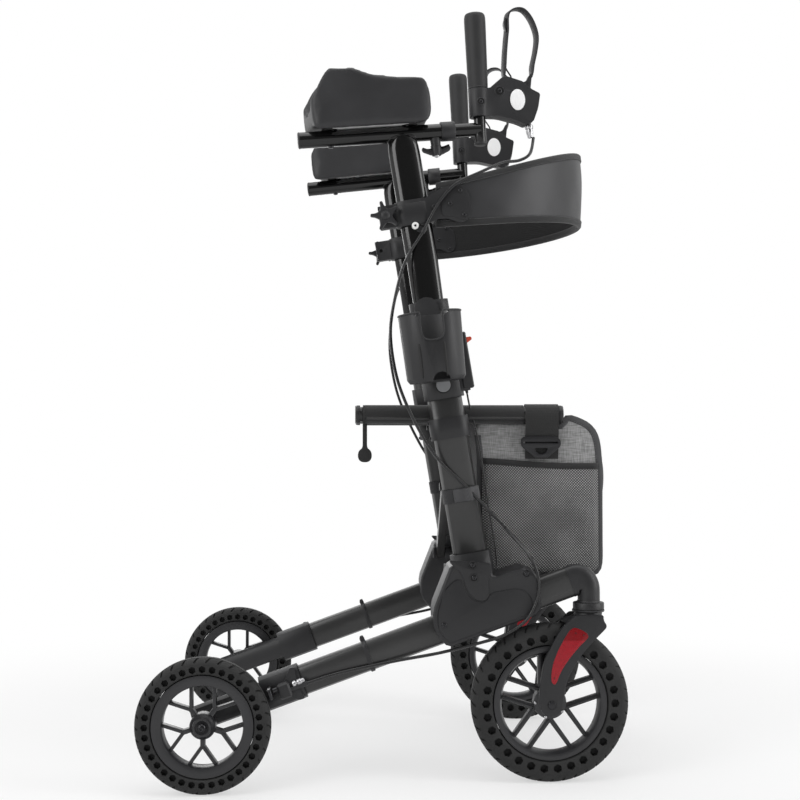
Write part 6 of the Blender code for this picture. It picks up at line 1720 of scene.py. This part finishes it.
# ---------------------------------------------------------------- elbows and rear brake brackets
# Cast elbows join the rails to the caster stems. The moulded bracket at the rear of each
# rail holds the brake shoe and a zinc barrel adjuster, where the cable ends.
RAIL_AXES = Matrix((
    (0.94029, -0.34038, 0, -0.275), (0, 0, -1, 0.219), (0.34038, 0.94029, 0, 0.1055), (0, 0, 0, 1),
))
ROUND_RAIL = Matrix.Rotation(math.pi / 2, 4, "Z") @ Matrix.Rotation(math.pi / 2, 4, "X")
BRACKET_LIP = mm([(152, 25.8), (144.1, 27.2), (139.8, 21.4), (133.3, 13.5), (124.8, 6.3), (114.4, 2),
    (102.2, 0.5), (98, -6), (99.1, -11), (113, -11.8), (125.6, -13.4), (135.8, -18), (142.2, -24.7), (152, -25),
    (150, -12), (149.2, 0), (150, 13)])
for hand, side in SIDES.items():
    frame_body = f"{hand}_frame"
    rail_axes = FLIP[hand] @ RAIL_AXES
    corner, radius, reach = Vector((0.317, 0.219, 0.319)), 0.017, 0.0243
    rail_run = Vector((0.94029, 0, 0.34038))
    start, end = corner - rail_run * reach, corner - Z * reach
    hub_point = start + Vector((0.34038, 0, -0.94029)) * radius
    bend = [(start - rail_run * (0.008 * (1 - k / 4) + 0.0002), rail_run, 0.0) for k in range(5)]
    for k in range(17):
        turned_by = math.radians(110.0) * k / 16
        way = Matrix.Rotation(turned_by, 3, "Y") @ rail_run
        out_way = Matrix.Rotation(turned_by, 3, "Y") @ Vector((-0.34038, 0, 0.94029))
        bend.append((hub_point + out_way * radius, way, k / 16))
    for drop in (0.004, 0.01, end.z - 0.2765):
        bend.append((end - Z * drop, -Z, 1.0))
    cuts_line = []
    for centre, way, share in bend:
        eased = share * share * (3 - 2 * share)
        place = Matrix((Vector((-way.z, 0, way.x)), Y, way)).transposed().to_4x4()
        place.translation = centre
        cuts_line.append((
            FLIP[hand] @ place, 0.0244 - 0.0071 * eased, 0.0136 + 0.0037 * eased, 0.62 + 0.38 * eased
        ))
    fitted(skinned(f"rail_end_{hand}", [(along(FLIP[hand].to_3x3() @ rail_run,
        FLIP[hand] @ (start - rail_run * back), Y), 0.0238, 0.0128) for back in (0.076, 0.0076)], frame_paint,
        0.62, 56), frame_body, "frame_grey")
    fitted(skinned(f"elbow_{hand}", cuts_line, plastic, 0.8, 56), frame_body, "black_plastic",
        f"front_elbow_{hand}")
    fitted(lathed(f"elbow_ring_{hand}", mm([(0, 266), (23.6, 266), (24.2, 266.7), (24.2, 275.2), (23.5, 276.4),
        (18.5, 277.5), (17.4, 279.5), (0, 279.5)]), FLIP[hand] @ moved(0.3165, 0.219, 0), plastic, 56),
        frame_body)
    dressed(f"brake_bracket_{hand}", plastic, 0.0008)
    dressed(f"brake_shoe_{hand}", dark_steel, 0.0005)
    fitted(plate(f"bracket_lip_{hand}", [cornered(BRACKET_LIP, 0.003)], 0.004, rail_axes @ moved(0, 0, -0.0178),
        plastic, 0.0012), frame_body)
    rail_way = rail_axes.to_3x3() @ X
    fitted(lathed(f"brake_adjuster_{hand}", mm([(0, -1), (4.8, -1), (5.2, 0), (5.2, 3), (4.8, 3.6), (3.6, 3.8),
        (3.6, 5.6), (4.8, 6.2), (5.1, 6.8), (5.1, 12.5), (4.6, 13.2), (4, 13.4), (3.6, 17), (3, 17.6),
        (0, 17.6)]), along(rail_way, rail_axes @ Vector((0.1425, 0.002, -0.02))), zinc, 24), frame_body,
        "steel")
    for k in range(4):
        fitted(pressed_ring(f"adjuster_knurl_{k}_{hand}", along(rail_way,
            rail_axes @ Vector((0.1502 + 0.0014 * k, 0.002, -0.02))), 0.005, 0.0003, zinc, 24), frame_body,
            "steel")
    for k in range(3):
        rib_ends = (0.0985, 0.106 - 0.0015 * k)
        rib_points = [rail_axes @ Vector((x, 0.0052 - 0.004 * k, -0.0169)) for x in rib_ends]
        fitted(strand(f"bracket_rib_{k}_{hand}", rib_points, 0.0008, plastic, 8), frame_body)
    fitted(screws(f"bracket_screw_{hand}", [rail_axes @ Vector((0.07, 0.003, -0.0137))], Y * side, 0.004,
        dark_steel), frame_body, "steel")
    fitted(wrapped(f"rail_tie_{hand}", rail_axes @ ROUND_RAIL, 0.0472, 0.0252, 0.2602, 0.2668, 0.0019, plastic),
        frame_body)
    fitted(plate(f"rail_tie_head_{hand}", [cornered(mm([(259.6, 23.8), (266.8, 23.8), (266.8, 28),
        (265.5, 32.5), (261.2, 32.5), (259.2, 28.5)]), 0.001)], 0.0062, rail_axes, plastic, 0.0006), frame_body)


# ---------------------------------------------------------------- rear wheels
# Solid rubber tyres with blind pockets in both sides and a block tread, on moulded rims
# with five forked spokes, each on a shouldered bolt with a domed nut.
tyre_rubber = Finish("tyre_rubber", shade("1b1b1b"), 0.78)
bloom, fine = tyre_rubber.noise(22.0, 4.0), tyre_rubber.noise(1600, 1.0)
tyre_rubber.give("Base Color", tyre_rubber.mixed(bloom.between(0.35, 0.72), shade("191919"), shade("242424")))
tyre_rubber.give("Roughness", bloom * 0.16 + 0.66)
tyre_rubber.bump(fine, 0.00015, 0.5)
wheel_plastic = coated("wheel_plastic", shade("232325"), 0.36, 2000, 0.0)
DOWN_AXLE = Matrix.Rotation(-math.pi / 2, 4, "X")
REAR_AXLE, FRONT_AXLE = (-0.275, 0.275, 0.102), (0.2545, 0.219, 0.1225)

solid_tyre = Shapes(
    "solid_tyre", Radius=float, PocketRing=float, PocketRadius=float, Pockets=int, HalfWidth=float,
    PocketDepth=float, Blocks=int, BlockDepth=float,
)
node, given, xyz = solid_tyre.node, solid_tyre.given, solid_tyre.xyz
turn_each = node("GeometryNodeInputIndex") * (2 * math.pi)


def round_the_wheel(piece, count, radius):
    """Copies of a cutter, evenly spread on a circle round the axle."""
    values = {"Vertices": given(count), "Radius": given(radius)}
    ring = node("GeometryNodeMeshCircle", {"fill_type": "NONE"}, values)
    return solid_tyre.copies(ring, piece, xyz(Z=turn_each / given(count)))


prism_size = {"Vertices": 6, "Radius": given("PocketRadius"), "Depth": given("PocketDepth") * 2}
pocket_prism = node("GeometryNodeMeshCylinder", (), prism_size, out="Mesh")
pockets = round_the_wheel(pocket_prism, "Pockets", "PocketRing")
groove_size = xyz(X=given("BlockDepth") * 2, Y=0.0033, Z=given("HalfWidth") * 0.84)
groove_box = node("GeometryNodeMeshCube", (), {"Size": groove_size}, out="Mesh")
cuts = []
for way in (1, -1):
    slid = {"Geometry": pockets, "Translation": xyz(Z=given("HalfWidth") * way)}
    cuts.append(node("GeometryNodeTransform", (), slid))
    aside = xyz(X=-0.0026, Z=given("HalfWidth") * (0.66 * way))
    slanted = {"Geometry": groove_box, "Rotation": (0.5 * way, -0.52 * way, 0.0), "Translation": aside}
    cuts.append(round_the_wheel(node("GeometryNodeTransform", (), slanted), "Blocks", "Radius"))
carved = given("Geometry")
for cutter in cuts:
    cut = {"Mesh 1": carved, "Mesh 2": node("GeometryNodeRealizeInstances", (), {0: cutter})}
    carved = node("GeometryNodeMeshBoolean", {"operation": "DIFFERENCE", "solver": "EXACT"}, cut)
solid_tyre.ends_in(carved)

spoked = Shapes("spoked", Spoke=bpy.types.Object, Count=int, Start=float)
axle_points = spoked.node("GeometryNodeMeshLine", (), {"Count": spoked.given("Count"), "Offset": (0, 0, 0)})
each_spoke = spoked.node("GeometryNodeInputIndex") * (2 * math.pi) / spoked.given("Count")
spoke_turn = each_spoke + spoked.given("Start")
all_spokes = spoked.copies(axle_points, shape_of(spoked, "Spoke"), spoked.xyz(Z=spoke_turn))
joined_rim = spoked.node("GeometryNodeJoinGeometry", (), {0: spoked.given("Geometry")})
spoked.join(all_spokes, joined_rim.socket.node, 0)
spoked.ends_in(joined_rim)


def on_axle(made, place):
    """A wheel's piece moved to its place, with its faces still outward on the mirrored side."""
    made.data.transform(place)
    if place.determinant() < 0:
        with Edited(made.data) as edit:
            bmesh.ops.reverse_faces(edit, faces=edit.faces)
    return made


def rim_with(name, place, ring, hub, spoke, count, start):
    """A moulded rim: its ring and hub turned in one, and its spokes set round the axle."""
    made = lathed(name, ring + ring[:1], Matrix(), wheel_plastic, 120)
    core = lathed("core", hub + hub[:1], Matrix(), wheel_plastic, 60)
    with Edited(made.data) as both:
        both.from_mesh(core.data)
    bpy.data.objects.remove(core)
    spoked.made_on(made, wheel_plastic, Spoke=spoke, Count=count, Start=start)
    bpy.data.objects.remove(spoke)
    return softly_shaded(on_axle(made, place), 38)


def tyre(name, place, radius, width, bead, pockets, pocket_ring_radius, pocket_radius, depth, blocks):
    """A solid tyre: its section turned, then carved, then set on its axle."""
    half, wall = width / 2, radius - bead
    side_line = [
        (bead + 0.0003, 0.7 * half), (bead + 0.06 * wall, 0.93 * half), (bead + 0.13 * wall, half),
        (bead + 0.62 * wall, half), (bead + 0.7 * wall, 0.985 * half), (bead + 0.82 * wall, 0.9 * half),
        (bead + 0.92 * wall, 0.74 * half), (radius - 0.0008, 0.52 * half), (radius - 0.0003, 0.42 * half),
        (radius - 0.0018, 0.39 * half), (radius - 0.0018, 0.3 * half), (radius, 0.27 * half), (radius, 0.0),
    ]
    section = side_line + [(r, -h) for r, h in reversed(side_line[:-1])]
    made = lathed(name, section + section[:1], Matrix(), tyre_rubber, 120)
    solid_tyre.made_on(
        made, tyre_rubber, Radius=radius, PocketRing=pocket_ring_radius, PocketRadius=pocket_radius,
        Pockets=pockets, HalfWidth=half, PocketDepth=depth, Blocks=blocks, BlockDepth=0.0019,
    )
    with Edited(made.data) as edit:
        bmesh.ops.remove_doubles(edit, verts=edit.verts, dist=0.000005)
    return softly_shaded(on_axle(made, place), 32)


def in_one(name, pieces):
    """One object with the meshes of several, which go."""
    whole = plain_mesh(name, [], [])
    with Edited(whole.data) as edit:
        for piece in pieces:
            edit.from_mesh(piece.data)
            bpy.data.objects.remove(piece)
    return whole


SPOKE_BARS = [
    ((0.0, 0.012), (0.0, 0.031), 0.0036),
    ((0.0, 0.0296), (0.0225, 0.0608), 0.0027),
    ((0.0, 0.0296), (-0.0225, 0.0608), 0.0027),
]
REAR_RING = mm([(76.8, -12), (76.2, -13.8), (74.5, -14.2), (64, -14.2), (61.6, -13.4), (60.6, -11.5)])
REAR_RING += [(0.0602, 0.0), *((r, -h) for r, h in reversed(REAR_RING))]
REAR_HUB = mm([(6.1, -17.2), (16, -17.2), (17.8, -16), (19.6, -9), (19.6, 9), (18, 12.5), (15, 14.8),
    (14.4, 16.6), (13.8, 17.8), (11.2, 18), (9.6, 16.8), (6.1, 16.6)])
for hand, side in SIDES.items():
    wheel_body = f"rear_wheel_{hand}"
    axle = FLIP[hand] @ Matrix.Translation(REAR_AXLE) @ DOWN_AXLE
    fitted(tyre(f"rear_tread_{hand}", axle, radius=0.102, width=0.033, bead=0.077, pockets=36,
        pocket_ring_radius=0.0858, pocket_radius=0.0056, depth=0.008, blocks=34), wheel_body, "tyre_rubber",
        f"rear_tyre_{hand}")
    forked = []
    for foot, tip, half in SPOKE_BARS:
        foot, tip = Vector(foot), Vector(tip)
        lean = (tip - foot).normalized() * half
        aside = Vector((lean.y, -lean.x))
        corners = [foot - aside, foot + aside, tip + aside, tip - aside]
        forked.append(plate("bar", [corners], 0.013, Matrix.Rotation(-math.pi / 2, 4, "Z"), wheel_plastic,
            0.0013))
    fork_spoke = softly_shaded(in_one("spoke", forked), 40)
    fitted(rim_with(f"rear_rim_body_{hand}", axle, REAR_RING, REAR_HUB, fork_spoke, 5, math.radians(90)),
        wheel_body, "wheel_plastic", f"rear_rim_{hand}")
    dressed(f"rear_axle_{hand}", dark_steel, 0.0004)
    fitted(pressed_ring(f"rear_hub_lip_{hand}", axle @ moved(0, 0, 0.0181), 0.0108, 0.0008, wheel_plastic, 40),
        wheel_body, "wheel_plastic")
    fitted(screws(f"rear_nut_socket_{hand}", [axle @ Vector((0, 0, 0.0228))], axle.to_3x3() @ Z, 0.0046,
        dark_steel), f"{hand}_frame", "steel")


# ---------------------------------------------------------------- forks and reflectors
# Moulded caster forks with a curved red reflector set in each blade, prismatic inside,
# held by three small pins. The wheel bolt shows at the foot of the blade.
reflector = Finish("reflector_red", shade("8c0c16"), 0.2, Specular_IOR_Level=0.3)
prisms = reflector.cells(700.0)
upper_part = reflector.axis("Z").between(0.2195, 0.2225)
body_red = reflector.mixed(prisms.between(0.2, 0.8), shade("9c1a26"), shade("840f1a"))
reflector.give("Base Color", reflector.mixed(upper_part, body_red, shade("76060f")))
reflector.give("Roughness", prisms * 0.15 + 0.16)
reflector.bump(prisms, 0.0003, 0.4)
LENS_EDGE = mm([(283.8, 238), (290.7, 240.8), (301, 237), (309, 231.8), (310.8, 226.2), (306, 220.5),
    (296.5, 211), (281.8, 193.6), (269, 174.2), (261.8, 157.5), (257.8, 154.3), (253.8, 159), (253.6, 170),
    (256, 184), (262.7, 203), (271.6, 220.1), (278.5, 231.8)])
REFLECTOR_PINS = mm([(291.5, 232.9), (303.5, 229.8), (258.5, 164)])
BLADE_EDGE = mm([(296, 259), (286.9, 256), (269, 238), (253.8, 212.5), (242.3, 187), (236.8, 156.4),
    (235.2, 133.4), (237.5, 115.6), (243.6, 107), (252.7, 104), (262.5, 106.5), (270.5, 115.6), (272.8, 130.9),
    (277.5, 153.8), (286.9, 176.8), (302.2, 199.7), (320, 220), (333.5, 233.5), (339.2, 240), (339.4, 244.8),
    (336.6, 249.6), (335.2, 254.5), (334, 259), (320, 260)])
# Cuts down the crown: place along X and Z, half sizes along X and Y, and squareness.
CROWN_CUTS = [
    (0.316, 0.2656, 0.0216, 0.0216, 1.0), (0.316, 0.264, 0.0222, 0.0222, 1.0),
    (0.3158, 0.26, 0.0216, 0.0226, 1.0), (0.3145, 0.256, 0.0222, 0.0246, 0.9),
    (0.3105, 0.2525, 0.0258, 0.0276, 0.72), (0.306, 0.25, 0.03, 0.0288, 0.55),
    (0.304, 0.2478, 0.0315, 0.0289, 0.5),
]
lens_line, blade_line = smooth_line(LENS_EDGE, 4, True), smooth_line(BLADE_EDGE, 4, True)
lens_pin = coated("lens_pin", shade("50060c"), 0.3, 900, 0.0)
for hand, side in SIDES.items():
    caster_body = f"caster_{hand}"
    fork_at = FLIP[hand] @ moved(0, 0.219, 0)
    for face, y, *blade_solid in (("outer", 0.02525, f"front_fork_{hand}"), ("inner", -0.02525)):
        fitted(plate(f"fork_blade_{face}_{hand}", [blade_line], 0.0075, fork_at @ moved(0, y, 0) @ SIDE_ON,
            plastic, 0.0022), caster_body, "black_plastic", *blade_solid)
    crown_cuts = [
        (fork_at @ moved(x, 0, z), half_x, half_y, power)
        for x, z, half_x, half_y, power in CROWN_CUTS
    ]
    fitted(skinned(f"fork_crown_{hand}", crown_cuts, plastic, 1.0, 56), caster_body)
    fitted(plate(f"reflector_lens_{hand}", [lens_line], 0.002, fork_at @ moved(0, 0.029, 0) @ SIDE_ON,
        reflector, 0.0006), caster_body, "reflector_red", f"fork_reflector_{hand}")
    for face, y in (("outer", 0.0291), ("inner", -0.0291)):
        edge_points = [fork_at @ Vector((p.x, y, p.y)) for p in lens_line]
        fitted(strand(f"reflector_frame_{face}_{hand}", edge_points, 0.0007, plastic, 8, closed=True),
            caster_body)
    dressed(f"front_axle_{hand}", dark_steel, 0.0004)
    fitted(plate(f"inner_reflector_{hand}", [lens_line], 0.002, fork_at @ moved(0, -0.029, 0) @ SIDE_ON,
        reflector, 0.0006), caster_body, "reflector_red")
    for face, y, way in (("outer", 0.0303, 1), ("inner", -0.0303, -1)):
        points = [fork_at @ Vector((x, y, z)) for x, z in REFLECTOR_PINS]
        fitted(screws(f"reflector_pins_{face}_{hand}", points, Y * side * way, 0.0011, lens_pin), caster_body,
            "reflector_red")
    fitted(lathed(f"stem_ring_{hand}", mm([(10, -3), (24.6, -3), (25.2, -2.2), (25.2, -0.4), (24.6, 0.2),
        (10, 0.2), (10, -3)]), FLIP[hand] @ moved(0.316, 0.219, 0.2655), plastic, 48), caster_body)


# ---------------------------------------------------------------- front wheels
# The same solid tyres in a larger size, on rims with five pairs of spokes. Five zinc
# screws hold the two halves of each hub.
PAIR_TURN, SCREW_TURN = math.radians(198), math.radians(36)
FRONT_BAR = mm([(15, -4), (77.5, -3.4), (77.5, 3.4), (15, 4)])
FRONT_RING = mm([(88.4, -13), (87.8, -15), (86.2, -15.6), (80.6, -15.6), (78.6, -14.8), (77.6, -13), (76, -8.5),
    (75.2, -6)])
FRONT_HUB = mm([(5.2, -20.5), (10.8, -20.5), (11.8, -19.6), (12.8, -12), (16, -9.8), (23.8, -9.2), (25.4, -8),
    (25.8, -5.5)])
FRONT_RING += [(r, -h) for r, h in reversed(FRONT_RING)]
FRONT_HUB += [(r, -h) for r, h in reversed(FRONT_HUB)]
for hand, side in SIDES.items():
    wheel_body = f"front_wheel_{hand}"
    axle = FLIP[hand] @ Matrix.Translation(FRONT_AXLE) @ DOWN_AXLE
    fitted(tyre(f"front_tread_{hand}", axle, radius=0.1225, width=0.036, bead=0.0886, pockets=30,
        pocket_ring_radius=0.1, pocket_radius=0.0069, depth=0.009, blocks=40), wheel_body, "tyre_rubber",
        f"front_tyre_{hand}")
    pair_of_bars = []
    for y in (-0.0148, 0.0148):
        pair_of_bars.append(
            plate("bar", [cornered(FRONT_BAR, 0.001, 2)], 0.013, moved(0, y, 0), wheel_plastic, 0.0014)
        )
        for z in (0.0066, -0.0066):
            pair_of_bars.append(strand("ridge", [(0.015, y, z), (0.0775, y, z)], 0.0012, wheel_plastic, 8))
    bars = in_one("bars", pair_of_bars)
    fitted(rim_with(f"front_rim_body_{hand}", axle, FRONT_RING, FRONT_HUB, bars, 5, PAIR_TURN), wheel_body,
        "wheel_plastic", f"front_rim_{hand}")
    for face, way in (("outer", 1), ("inner", -1)):
        hub_points = [
            axle @ Vector((0.0232 * c, 0.0232 * s, 0.01 * way)) for c, s in circle_points(5, SCREW_TURN)
        ]
        fitted(screws(f"front_hub_screws_{face}_{hand}", hub_points, axle.to_3x3() @ (Z * way), 0.0022, zinc),
            wheel_body, "steel")


shown_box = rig.bounds()
with open("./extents.json", "w") as size_file:
    json.dump([[list(p) for p in solid_box], [list(p) for p in shown_box]], size_file)
